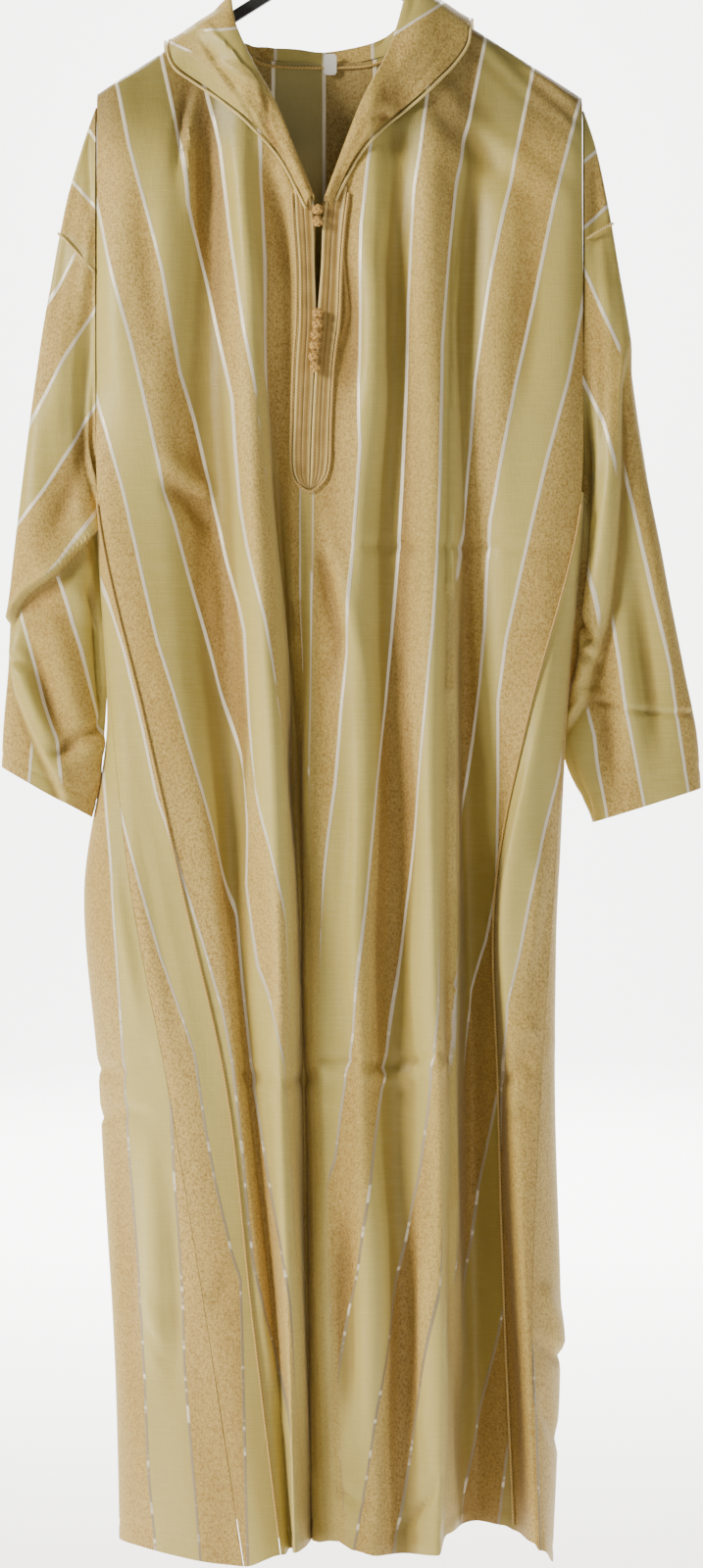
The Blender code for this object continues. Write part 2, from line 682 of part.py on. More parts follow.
def hanger_hook(name, made_of):
    """Wire hook whose inner top is the origin."""
    centre_z = HOOK_WIRE - HOOK_RADIUS
    foot = crest_z(0.0) - ARM_DROP
    path = [Vector((0.0, 0.0, foot + 0.3)), Vector((0.0, 0.0, foot + 10.0)),
            Vector((3.0, 0.0, -46.0)), Vector((10.0, 0.0, -38.5))]
    for k in range(21):
        turn = -0.75 + (pi + 1.2) * k / 20.0
        path.append(Vector((HOOK_RADIUS * cos(turn), 0.0, centre_z + HOOK_RADIUS * sin(turn))))
    return tube(name, path, HOOK_WIRE, made_of, sides=8)


def knot(name, x, z, skin, made_of):
    shell = bmesh.new()
    bmesh.ops.create_uvsphere(shell, u_segments=10, v_segments=6, radius=KNOT_RADIUS * MM)
    y = front_y(skin, x, z) - KNOT_RADIUS - SEAM_GAP - BAND_THICKNESS - BAND_GAP
    if z > OPEN_SLIT_BOTTOM_Z:
        y += KNOT_SINK
    for vertex in shell.verts:
        vertex.co += Vector((x, y, z)) * MM
    mesh = bpy.data.meshes.new(name)
    shell.to_mesh(mesh)
    shell.free()
    mesh.materials.append(made_of)
    mesh.shade_smooth()
    piece = bpy.data.objects.new(name, mesh)
    bpy.context.collection.objects.link(piece)


def main():
    for old in list(bpy.data.objects):
        bpy.data.objects.remove(old)

    striped = material("striped_cloth", TAN, 0.75)
    olive = material("olive_cloth", OLIVE, 0.65)
    gold = material("gold_piping", GOLD, 0.5)
    pale = material("pale_piping", PALE, 0.5)
    braid = material("braid", GOLD, 0.55)
    black = material("black_plastic", (0.02, 0.02, 0.02), 0.5)
    steel = material("black_wire", (0.03, 0.03, 0.03), 0.35, 1.0)
    white = material("label_white", (0.85, 0.85, 0.83), 0.8)

    hanger_arms("hanger_arms", black)
    hanger_hook("hanger_hook", steel)

    front_first = LINE_AT["front_seam_left"]
    front_last = LINE_AT["front_seam_right"]
    side_right = LINE_AT["side_seam_right"]
    back_first = LINE_AT["back_seam_right"]
    back_last = LINE_AT["back_seam_left"]
    side_left = LINE_AT["side_seam_left"]

    cuts = [3, 3, 3, 2, 3, 2, 2, 1, 2, 2, 3, 3, 2, 3, 3, 3]
    slit_column = sum(cuts[:LINE_AT["slit_left"] - front_first])
    slit_rows = len(SHOULDER_DROPS) + len(SHOULDER_PARTS) + ROWS.index(OPEN_SLIT_BOTTOM_Z)

    def in_slit(j, i):
        return i == slit_column and j < slit_rows

    front = panel("front", front_first, front_last, cuts, striped, top=front_top, skip=in_slit)
    back = panel("back", back_first, back_last, [2, 3, 2, 3, 2, 3, 3, 2, 3, 2], striped,
                 top=back_top)
    panel("gore_front_right", front_last, side_right, [2, 3], olive, start_z=ARMPIT_Z)
    panel("gore_back_right", side_right, back_first, [2, 3], striped, start_z=ARMPIT_Z)
    panel("gore_back_left", back_last, side_left, [3, 4], striped, start_z=ARMPIT_Z)
    panel("gore_front_left", side_left, len(LINES), [3], olive, start_z=ARMPIT_Z)
    front_skin = skin_of(front)
    back_skin = skin_of(back)

    sleeve("sleeve_left", LEFT_SLEEVE, striped)
    sleeve("sleeve_right", RIGHT_SLEEVE, striped)
    grid = hood_grid(hood_stations(), (front_skin, back_skin), 36, 12)
    hood("hood", grid, striped)
    hood_trim("hood_trim", grid, pale)

    band("placket_left", True, front_skin, braid)
    band("placket_right", False, front_skin, braid)
    placket_cord("placket_cord", front_skin, gold)
    for order, (x, z) in enumerate(KNOTS):
        knot("knot_%d" % (order + 1), x, z, front_skin, gold)

    seam_heights = [z for z in ROWS if z < ARMPIT_Z] + [-1540]
    tube("piping_left", seam_path("front_seam_left", seam_heights), PIPING_RADIUS, gold)
    tube("piping_right", seam_path("front_seam_right", seam_heights), PIPING_RADIUS, gold)
    tube("armhole_piping_left", armhole_path(LEFT_SLEEVE, LEFT_ARMHOLE), PIPING_RADIUS, pale)
    tube("armhole_piping_right", armhole_path(RIGHT_SLEEVE, RIGHT_ARMHOLE), PIPING_RADIUS, pale)
    neck_binding("neck_binding", back_skin, gold)
    label("label", back_skin, white)


main()
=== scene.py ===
# Striped djellaba robe with a hood, dressed over its hanging solids.
# Lengths in the tables are millimetres, and places marked photo are pixels of the photograph.
import bpy
import bmesh
import numpy as np
from math import cos, exp, pi, sin, sqrt
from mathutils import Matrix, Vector
from mathutils.bvhtree import BVHTree


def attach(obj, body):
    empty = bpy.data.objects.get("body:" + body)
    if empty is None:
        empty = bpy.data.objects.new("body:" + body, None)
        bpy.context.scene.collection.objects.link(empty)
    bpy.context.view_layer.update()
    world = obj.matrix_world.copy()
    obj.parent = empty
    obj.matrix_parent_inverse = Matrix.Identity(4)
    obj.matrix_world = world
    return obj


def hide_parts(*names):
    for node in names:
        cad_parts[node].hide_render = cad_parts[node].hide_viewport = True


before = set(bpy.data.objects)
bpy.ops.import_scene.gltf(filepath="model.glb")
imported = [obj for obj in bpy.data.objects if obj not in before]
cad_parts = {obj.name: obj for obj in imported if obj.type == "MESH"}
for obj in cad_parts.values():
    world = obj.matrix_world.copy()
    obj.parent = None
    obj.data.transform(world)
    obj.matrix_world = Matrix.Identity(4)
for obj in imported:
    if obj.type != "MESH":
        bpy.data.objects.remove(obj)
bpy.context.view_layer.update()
mm = 0.001
print("frame loaded:", len(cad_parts), "nodes")

# camera, light and floor
view = {"x": 0.014, "z": -0.848, "distance": 3.2, "height": 1.472, "sensor": 36.0}
lensData = bpy.data.cameras.new("frontCamera")
lensData.sensor_width = view["sensor"]
lensData.lens = view["sensor"] * view["distance"] / view["height"]
cameraObject = bpy.data.objects.new("frontCamera", lensData)
cameraObject.location = (view["x"], -view["distance"], view["z"])
cameraObject.rotation_euler = (pi / 2.0, 0.0, 0.0)
bpy.context.collection.objects.link(cameraObject)
bpy.context.scene.camera = cameraObject

lamps = {
    "keyLeft": {"place": (-3.2, -1.7, 0.8), "aim": (0.0, 0.0, -0.75), "size": 0.9, "power": 192.0,
                "colour": (1.0, 0.93, 0.79)},
    "fillFront": {"place": (0.9, -3.2, -0.4), "aim": (0.0, 0.0, -0.9), "size": 1.5, "power": 10.0,
                  "colour": (1.0, 0.95, 0.86)},
    "fromBehind": {"place": (2.8, 3.0, 0.8), "aim": (0.0, 0.0, -0.8), "size": 1.6, "power": 26.0,
                   "colour": (1.0, 0.96, 0.9)},
    "onBackdrop": {"place": (0.0, 3.6, 3.4), "aim": (0.0, 7.2, -1.7), "size": 4.0, "power": 3000.0,
                   "colour": (1.0, 0.985, 0.97)},
}
for lampName, lamp in lamps.items():
    lampData = bpy.data.lights.new(lampName, "AREA")
    lampData.size = lamp["size"]
    lampData.energy = lamp["power"]
    lampData.color = lamp["colour"]
    lampObject = bpy.data.objects.new(lampName, lampData)
    lampObject.location = lamp["place"]
    aim = Vector(lamp["aim"]) - Vector(lamp["place"])
    lampObject.rotation_euler = aim.to_track_quat("-Z", "Y").to_euler()
    bpy.context.collection.objects.link(lampObject)

room = {"colour": (1.0, 0.97, 0.92, 1.0), "strength": 0.14}
sky = bpy.data.worlds.new("paleRoom")
sky.use_nodes = True
skyShader = sky.node_tree.nodes["Background"]
skyShader.inputs["Color"].default_value = room["colour"]
skyShader.inputs["Strength"].default_value = room["strength"]
bpy.context.scene.world = sky

studio = {"floorZ": -1.72, "front": -11.0, "back": 7.6, "halfWidth": 11.0, "bend": 2.4, "bendSteps": 12,
          "top": 6.5, "colour": (0.93, 0.93, 0.925, 1.0), "roughness": 0.9}


def paleFloor():
    # the floor bends up into a backdrop
    profile = [(studio["front"], studio["floorZ"])]
    for k in range(studio["bendSteps"] + 1):
        turn = pi / 2.0 * k / studio["bendSteps"]
        profile.append((studio["back"] + studio["bend"] * sin(turn),
                        studio["floorZ"] + studio["bend"] * (1.0 - cos(turn))))
    profile.append((studio["back"] + studio["bend"], studio["top"]))
    points = [(side * studio["halfWidth"], y, z) for y, z in profile for side in (-1.0, 1.0)]
    faces = [(2 * k, 2 * k + 1, 2 * k + 3, 2 * k + 2) for k in range(len(profile) - 1)]
    mesh = bpy.data.meshes.new("studioFloor")
    mesh.from_pydata(points, [], faces)
    mesh.update()
    mesh.shade_smooth()
    floor = bpy.data.objects.new("studioFloor", mesh)
    bpy.context.collection.objects.link(floor)
    paint = bpy.data.materials.new("paleStudio")
    paint.use_nodes = True
    shader = paint.node_tree.nodes["Principled BSDF"]
    shader.inputs["Base Color"].default_value = studio["colour"]
    shader.inputs["Roughness"].default_value = studio["roughness"]
    mesh.materials.append(paint)


paleFloor()
print("camera, light and floor ready")

# The tables of the cloth are those of the solids.
# Heights of the sections that the table of lines below is given at. The first one is the
# shoulder line itself, which slopes with the hanger.
sectionHeights = (0.0, -300.0, -460.0, -600.0, -790.0, -950.0, -1130.0, -1340.0, -1570.0)

# One row for each seam, ridge and valley round the body, starting at the front's left
# seam and going round by the right side and the back. The columns are the line's name,
# its x at each section, its y at each section, and the height of the hem there.
bodyLines = (
    ("frontSeamLeft", (-224.4, -224.2, -224.2, -220, -177, -141, -101, -77, -49),
     (-9, -11, -14, -28, -42, -52, -60, -66, -70), -1556),
    ("chestRidge", (-178, -164, -168, -164, -141, -111, -90, -67, -46),
     (-9, -28, -33, -36, -44, -54, -60, -64, -68), -1556),
    ("chestValley", (-132, -118, -121, -109, -106, -95, -80, -58, -41),
     (-9, -13, -14, -18, -24, -38, -48, -54, -60), -1552),
    ("bigRidge", (-86, -86, -78, -74, -59, -54, -50, -43, -37),
     (-11, -34, -44, -60, -74, -84, -88, -88, -88), -1550),
    ("bigRidgeEdge", (-75, -75, -68, -61, -47, -42, -39, -34, -29),
     (-11, -29, -36, -50, -62, -72, -76, -76, -74), -1548),
    ("centreValley", (-60, -58, -56, -53, -40, -34, -30, -27, -22),
     (-12, -21, -17, -12, -8, -8, -8, -8, -14), -1546),
    ("placketLeft", (-45, -45, -45, -45, -34, -27, -22, -19, -16),
     (-13, -25, -29, -30, -36, -46, -52, -56, -62), -1546),
    ("slitLeft", (-20, -20, -20, -19, -18, -16, -11, -6, -4),
     (-14, -26, -30, -33, -46, -56, -62, -66, -70), -1543),
    ("slitRight", (-13, -13, -13, -12, -11, -9, -4, 1, 3),
     (-14, -26, -30, -34, -48, -58, -64, -68, -72), -1543),
    ("placketRight", (6, 2, -1, -3, -1, 2, 8, 12, 15),
     (-13, -25, -31, -37, -52, -62, -68, -72, -76), -1550),
    ("rightRidge", (29, 34, 29, 21, 18, 19, 25, 32, 38),
     (-12, -35, -43, -48, -60, -70, -76, -78, -80), -1555),
    ("softValley", (52, 57, 51, 49, 49, 51, 54, 60, 63),
     (-10, -22, -25, -29, -38, -46, -52, -58, -64), -1556),
    ("secondRidge", (89, 89, 93, 95, 87, 89, 95, 97, 94),
     (-9, -32, -39, -50, -64, -76, -81, -82, -82), -1554),
    ("deepValleyEdge", (109, 109, 109, 109, 104, 102, 105, 105, 101),
     (-9, -24, -28, -36, -48, -56, -58, -58, -58), -1540),
    ("deepValley", (126, 126, 117, 119, 120, 122, 126, 128, 131),
     (-9, -13, -16, -18, -10, 0, 4, 4, 2), -1540),
    ("sideRidge", (172, 172, 158, 158, 152, 144, 144, 149, 158),
     (-9, -23, -28, -36, -34, -14, -8, -8, -8), -1542),
    ("frontSeamRight", (230, 230.2, 230.2, 225, 177, 149, 152, 158, 168),
     (-9, -11, -14, -28, -46, -26, -16, -14, -14), -1546),
    ("rightGoreFold", (230, 230, 230, 228, 188, 154, 163, 175, 183),
     (-8, -9, -11, -22, -50, -56, -54, -52, -50), -1550),
    ("sideSeamRight", (230, 230, 230, 231, 212, 201, 189, 181, 188),
     (-4, -4, -5, -8, -24, -40, -48, -50, -52), -1556),
    ("sideEdgeRight", (230, 230, 230, 232, 214, 205, 204, 208, 204),
     (0, 0, 0, 1, -4, -14, -12, -8, -6), -1576),
    ("backSeamRight", (230, 230.2, 230.2, 227, 204, 188, 178, 172, 170),
     (9, 11, 14, 28, 38, 46, 56, 62, 66), -1556),
    ("backRidgeRight", (181, 181, 178, 170, 162, 152, 144, 138, 134),
     (9, 29, 35, 47, 58, 68, 76, 80, 84), -1555),
    ("backValleyRight", (135, 135, 128, 122, 118, 112, 108, 104, 100),
     (9, 16, 20, 22, 25, 28, 32, 36, 40), -1550),
    ("backSecondRidge", (89, 89, 85, 82, 78, 75, 71, 67, 62),
     (11, 30, 36, 50, 64, 76, 84, 88, 92), -1556),
    ("backSoftValley", (39, 39, 36, 33, 30, 27, 23, 18, 14),
     (14, 23, 27, 32, 37, 40, 42, 44, 46), -1552),
    ("backMiddle", (-12, -12, -12, -12, -12, -12, -12, -12, -13),
     (15, 31, 38, 52, 66, 78, 86, 90, 94), -1557),
    ("backLeftValley", (-65, -65, -62, -58, -55, -52, -48, -46, -43),
     (14, 21, 25, 28, 31, 34, 37, 40, 44), -1552),
    ("backLeftRidge", (-118, -118, -115, -110, -104, -100, -95, -89, -84),
     (10, 30, 36, 50, 62, 74, 82, 88, 92), -1556),
    ("backOuterValley", (-159, -159, -157, -152, -148, -142, -136, -130, -122),
     (9, 16, 20, 24, 27, 30, 34, 38, 42), -1551),
    ("backOuterRidge", (-196, -196, -196, -190, -184, -184, -176, -168, -158),
     (9, 22, 28, 40, 50, 58, 68, 74, 78), -1555),
    ("backSeamLeft", (-224.4, -224.2, -224.2, -221, -208, -220, -204, -192, -182),
     (9, 11, 14, 24, 32, 38, 48, 56, 60), -1556),
    ("sideEdgeLeft", (-224, -224, -224, -225, -215, -238, -223, -211, -202),
     (0, 0, 0, 1, 2, 0, 2, 4, 6), -1558),
    ("sideSeamLeft", (-224, -224, -224, -224, -209, -190, -155, -120, -85),
     (-4, -4, -6, -10, -22, -44, -56, -62, -64), -1568),
)
lineAt = {row[0]: order for order, row in enumerate(bodyLines)}

# Hood stations from the bottom of the V round to the middle of the back, for the left
# half. Each has five points across the hood, from the neck seam over the rolled crest to
# the edge, as x from the neck's middle, z, and distance off the cloth below it.
hoodStations = (
    ("front", ((-5.5, -306, 4), (-6.5, -301, 7), (-8, -303, 9), (-9.5, -306, 8), (-11, -310, 6))),
    ("front", ((-24, -257, 3), (-25, -252, 9), (-29, -254, 11), (-33, -257, 9), (-37, -260, 6))),
    ("front", ((-40, -220, 3), (-42, -211, 12), (-49, -216, 15), (-57, -223, 11), (-65, -230, 6))),
    ("front", ((-62, -179, 3), (-66, -168, 12), (-78, -176, 16), (-90, -187, 12), (-102, -199, 6))),
    ("front", ((-77, -146, 4), (-80, -135, 10), (-98, -144, 13), (-117, -157, 10), (-137, -171, 6))),
    ("crest", ((-82, 0, 5), (-83, 0, 8), (-102, 0, 7), (-122, 0, 7), (-140, 0, 6))),
    ("back", ((-80, -150, 6), (-81, -138, 9), (-107, -163, 9), (-128, -188, 11), (-144, -171, 20))),
    ("back", ((-74, -160, 5), (-76, -145, 9), (-112, -195, 11), (-132, -262, 15), (-140, -190, 31))),
    ("back", ((-42, -165, 3), (-44, -152, 8), (-64, -260, 10), (-68, -410, 18), (-78, -230, 38))),
    ("back", ((0, -167, 3), (0, -155, 8), (0, -300, 10), (0, -540, 22), (0, -254, 46))),
)

# Placket bands: height, the left band's outer and inner edge, and the right band's inner
# and outer edge.
placketRows = (
    (-286, -40.0, -25.0, -9.0, 11.0),
    (-327, -38.0, -21.0, -13.0, 6.0),
    (-367, -35.5, -20.0, -14.5, 3.0),
    (-417, -35.5, -18.8, -18.2, 1.0),
    (-456, -38.0, -20.3, -19.7, -4.0),
    (-516, -40.0, -23.3, -22.7, -7.0),
    (-553, -40.5, -24.5, -23.9, -8.5),
    (-567, -36.0, -25.0, -24.4, -14.0),
    (-573, -27.5, -25.2, -24.6, -22.5),
)

# Knot buttons down the placket: x and z of each
knotPlaces = ((-17.5, -314), (-17.5, -325), (-17.6, -411), (-17.6, -421), (-19.0, -431),
         (-20.0, -441), (-21.0, -451), (-19.6, -461))

# Sleeve rings from the armhole to the cuff: the ring's outer x and z, its inner x and z,
# its front depth and its back depth.
leftSleeveRings = (
    (-225.9, -213, -225.3, -574, 13, 13),
    (-238, -248, -227, -588, 13, 13),
    (-258, -324, -227, -606, 15, 15),
    (-273, -414, -227, -628, 17, 17),
    (-287, -508, -227, -656, 20, 18),
    (-300, -613, -226, -682, 24, 18),
    (-305, -668, -225, -706, 15, 20),
    (-308, -738, -225, -764, 14, 19),
    (-313, -800, -230, -838, 17, 17),
    (-314, -832, -232, -879, 18, 17),
)
rightSleeveRings = (
    (231.8, -216, 232.4, -574, 13, 13),
    (242, -246, 235, -590, 13, 13),
    (256, -312, 236, -613, 15, 15),
    (270, -408, 236, -641, 17, 17),
    (282, -500, 235, -664, 19, 18),
    (295, -582, 232, -701, 20, 18),
    (308, -660, 229, -733, 19, 19),
    (325, -738, 226, -770, 17, 19),
    (338, -800, 222, -818, 18, 18),
    (342, -852, 240, -884, 20, 18),
)
# Where the armhole piping crosses the top of each sleeve: outer x and z, inner x and z
leftArmhole = (-261, -330, -222, -374)
rightArmhole = (257, -323, 231, -340)

# how the cloth's tables become surfaces
robe = {
    "cloth": 1.3, "seamGap": 0.3, "apexZ": -66.0, "shoulderSlope": 0.644, "apexRounding": 16.0,
    "shoulderRounding": 9.0, "neckX": -16.5, "neckHalf": 4.0, "neckBottomZ": -308.0, "neckSlope": 2.2,
    "backNeckZ": -167.0, "backNeckHalf": 84.0, "backNeckRise": 42.0, "armpitZ": -576.0,
    "slitTopZ": -1345.0, "sideSlit": 0.4, "openSlitZ": -405.0, "shoulderFootZ": -322.0,
    "lowerHemZ": -1500.0, "columnStep": 5.2, "rowStep": 6.5, "foldGain": 2.1, "sleeveGain": 2.0,
    "crestBand": 0.6,
}


def smoothAlong(places, values, at):
    last = len(places) - 1
    falling = places[last] < places[0]
    span = 0
    while span < last - 1 and ((at < places[span + 1]) if falling else (at > places[span + 1])):
        span += 1
    width = places[span + 1] - places[span]
    part = min(1.0, max(0.0, (at - places[span]) / width))
    slopes = []
    for k in (span, span + 1):
        before, after = max(0, k - 1), min(last, k + 1)
        slopes.append((values[after] - values[before]) / (places[after] - places[before]))
    step = values[span + 1] - values[span]
    a = slopes[0] * width - step
    b = step - slopes[1] * width
    return values[span] + part * step + part * (1.0 - part) * (a * (1.0 - part) + b * part)


def curveBetween(p0, p1, p2, p3, part):
    step = p2 - p1
    half = step.length / 2.0
    leaving = ((p1 - p0).normalized() + step.normalized()) * half
    arriving = (step.normalized() + (p3 - p2).normalized()) * half
    ease = part * (1.0 - part)
    return p1 + step * part + (leaving - step) * ease * (1.0 - part) + (step - arriving) * ease * part


def curveThrough(points, at):
    last = len(points) - 1
    span = int(min(last - 1, max(0, at)))
    return curveBetween(points[max(0, span - 1)], points[span], points[span + 1],
                        points[min(last, span + 2)], at - span)


def crestZ(x):
    run = sqrt(x * x + robe["apexRounding"] ** 2) - robe["apexRounding"]
    return robe["apexZ"] - robe["shoulderSlope"] * run


def frontTop(x):
    edge = robe["neckBottomZ"] + robe["neckSlope"] * max(0.0, abs(x - robe["neckX"]) - robe["neckHalf"])
    return min(crestZ(x), edge)


def backTop(x):
    across = abs(x - robe["neckX"]) / robe["backNeckHalf"]
    return min(crestZ(x), robe["backNeckZ"] + robe["backNeckRise"] * across ** 6)


knownPoints = {}


def linePoint(order, z):
    key = (order % len(bodyLines), z)
    if key not in knownPoints:
        row = bodyLines[key[0]]
        top = crestZ(row[1][0])
        places = (top,) + sectionHeights[1:]
        height = min(top, max(sectionHeights[-1], z))
        knownPoints[key] = Vector((smoothAlong(places, row[1], height),
                                   smoothAlong(places, row[2], height), z))
    return knownPoints[key]


def bodyPoint(s, z):
    span = int(s // 1)
    point = curveBetween(linePoint(span - 1, z), linePoint(span, z), linePoint(span + 1, z),
                         linePoint(span + 2, z), s - span)
    drop = crestZ(point.x) - z
    point.y *= sqrt(min(1.0, max(0.0, drop) / robe["shoulderRounding"]))
    point.z = z
    return point


def hemZ(s):
    span = int(s // 1)
    part = s - span
    ease = part * part * (3.0 - 2.0 * part)
    first = bodyLines[span % len(bodyLines)][3]
    second = bodyLines[(span + 1) % len(bodyLines)][3]
    return first + (second - first) * ease


def smoothStep(low, high, value):
    part = np.clip((value - low) / (high - low), 0.0, 1.0)
    return part * part * (3.0 - 2.0 * part)


# where the photograph's middle and its top lie, the size of a pixel, and how lines are read
photo = {"middleX": 14.0, "middleZ": -848.0, "topZ": -112.0, "pixel": 0.92, "originX": 343.0,
         "steepest": 1.6, "window": 4.0}
stripeLook = {"spread": 12.0, "apart": 3.0, "crowded": 0.85}


def photoPlace(points):
    reach = view["distance"] * 1000.0
    near = reach / (reach + points[..., 1])
    x = photo["middleX"] + (points[..., 0] - photo["middleX"]) * near
    z = photo["middleZ"] + (points[..., 2] - photo["middleZ"]) * near
    return x / photo["pixel"] + photo["originX"], (photo["topZ"] - z) / photo["pixel"]


def lineAcross(line, py):
    # x of a traced line at each height, running on straight past both its ends
    ys = np.array([p[1] for p in line], float)
    xs = np.array([p[0] for p in line], float)
    x = np.interp(py, ys, xs)
    steepest, window = photo["steepest"], photo["window"]
    first = np.clip((xs[1] - xs[0]) / (ys[1] - ys[0]), -steepest, steepest)
    last = np.clip((xs[-1] - xs[-2]) / (ys[-1] - ys[-2]), -steepest, steepest)
    x = x + np.minimum(0.0, py - ys[0]) * first + np.maximum(0.0, py - ys[-1]) * last
    lean = (np.interp(py + window, ys, xs) - np.interp(py - window, ys, xs)) / (2.0 * window)
    return x, lean


def countStripes(px, py, lines, first=0):
    # whole numbers are bands of colour, and each half is the middle of a silver stripe
    spread = stripeLook["spread"]
    count = np.full(px.shape, float(first))
    crowd = np.zeros(px.shape)
    before = None
    for line in lines:
        x, lean = lineAcross(line, py)
        if before is not None:
            x = np.maximum(x, before + stripeLook["apart"])
        before = x
        off = (px - x) / np.sqrt(1.0 + lean * lean)
        count += np.clip(off / (2.0 * spread) + 0.5, 0.0, 1.0)
        crowd += np.abs(off) < spread * stripeLook["crowded"]
    return count, np.clip(crowd - 1.0, 0.0, 1.0)


def awayFromLine(px, py, line):
    # distance to a traced line, and which side of it: over it or left of it is positive
    best = np.full(px.shape, 1e9)
    side = np.zeros(px.shape)
    for (ax, ay), (bx, by) in zip(line[:-1], line[1:]):
        dx, dy = bx - ax, by - ay
        size = dx * dx + dy * dy
        part = np.clip(((px - ax) * dx + (py - ay) * dy) / size, 0.0, 1.0)
        away = np.hypot(px - ax - part * dx, py - ay - part * dy)
        turn = ((px - ax) * dy - (py - ay) * dx) / sqrt(size)
        nearer = away < best
        side = np.where(nearer, np.sign(turn), side)
        best = np.where(nearer, away, best)
    return best, side


foldLook = {"pastEnd": 14.0, "fade": 0.4, "shortest": 60, "underStep": -0.55, "stepRounding": 2.0}


def foldHeights(px, py, folds):
    # a fold is a ridge or trough along its line, and in a step one side lies over the other
    height = np.zeros(px.shape)
    for size, width, line, *kind in folds:
        away, side = awayFromLine(px, py, line)
        top, foot = min(p[1] for p in line), max(p[1] for p in line)
        fade = foldLook["fade"] * (foot - top)
        reach = 1.0
        if len(line) > 2 and foot - top > foldLook["shortest"]:
            reach = smoothStep(top - foldLook["pastEnd"], top + fade, py)
            reach = reach * (1.0 - smoothStep(foot - fade, foot + foldLook["pastEnd"], py))
        if kind:
            over = np.exp(-away / width)
            under = foldLook["underStep"] * over * np.clip(away / foldLook["stepRounding"], 0.0, 1.0)
            height += size * np.where(side > 0, over, under) * reach
        else:
            height += size * np.exp(-(away / width) ** 2) * reach
    return height


cushion = {"waves": 7, "across": (0.02, 0.11), "down": (0.002, 0.016), "lean": 0.06, "turn": (0.0, 6.28),
           "fall": 12.0}


def cushionNoise(a, b, seed):
    # slow unevenness of hung cloth, longer down than across
    rng = np.random.RandomState(seed)
    total = np.zeros(a.shape)
    for _ in range(cushion["waves"]):
        across = rng.uniform(*cushion["across"])
        down = rng.uniform(*cushion["down"])
        lean = rng.uniform(-1.0, 1.0) * cushion["lean"]
        wave = np.sin((a + lean * b) * across + b * down + rng.uniform(*cushion["turn"]))
        total += wave / (1.0 + cushion["fall"] * across)
    return total


# building meshes from grids
stripeRun = 50.0
sharpAngle = 1.0
cordSides = 8


def gridNormals(grid, closed=False):
    if closed:
        across = np.roll(grid, -1, axis=1) - np.roll(grid, 1, axis=1)
    else:
        across = np.gradient(grid, axis=1)
    down = np.gradient(grid, axis=0)
    normal = np.cross(down, across)
    size = np.linalg.norm(normal, axis=-1, keepdims=True)
    return normal / np.maximum(size, 1e-9)


def meshPiece(name, points, faces, material, uv=None, plain=None, paintedFoldShading=None):
    mesh = bpy.data.meshes.new(name)
    mesh.from_pydata([tuple(p) for p in np.asarray(points, float) * mm], [], faces)
    mesh.update()
    if uv is not None:
        layer = mesh.uv_layers.new(name="stripes")
        corner = np.zeros(len(mesh.loops), np.int32)
        mesh.loops.foreach_get("vertex_index", corner)
        layer.data.foreach_set("uv", np.asarray(uv, np.float32)[corner].ravel())
    for field, values in (("plain", plain), ("paintedFoldShading", paintedFoldShading)):
        if values is not None:
            layer = mesh.attributes.new(field, "FLOAT", "POINT")
            layer.data.foreach_set("value", np.asarray(values, np.float32))
    mesh.materials.append(material)
    piece = bpy.data.objects.new(name, mesh)
    bpy.context.collection.objects.link(piece)
    shell = bmesh.new()
    shell.from_mesh(mesh)
    if shell.calc_volume(signed=True) < 0.0:
        bmesh.ops.reverse_faces(shell, faces=shell.faces)
        shell.to_mesh(mesh)
    shell.free()
    mesh.shade_smooth()
    mesh.set_sharp_from_angle(angle=sharpAngle)
    return piece


def hollowOf(grid, normal, half, closed=False, depth=5.0):
    # how far each point lies under (above nought) or over the cloth to its left and right, which is used to
    # paint shade into fold bottoms and highlight onto crests
    if closed:
        wide = np.concatenate([grid[:, -half:], grid, grid[:, :half]], axis=1)
    else:
        wide = np.pad(grid, ((0, 0), (half, half), (0, 0)), mode="edge")
    width = grid.shape[1]
    middle = sum(wide[:, k:k + width] for k in range(2 * half + 1)) / (2 * half + 1.0)
    under = np.sum((middle - grid) * normal, axis=-1) / depth
    if not closed:
        place = np.arange(width)
        under *= np.clip(np.minimum(place, width - 1 - place) / float(half), 0.0, 1.0)[None, :]
    return np.clip(under, -1.0, 1.0)


def paintedShadesOf(px, py, paintedShades):
    # painted shade along the bottoms of deep folds counts up and painted highlight on crests counts down
    total = np.zeros(px.shape)
    for amount, width, line in paintedShades:
        away = awayFromLine(px, py, line)[0]
        total += amount * np.exp(-(away / width) ** 2)
    return total


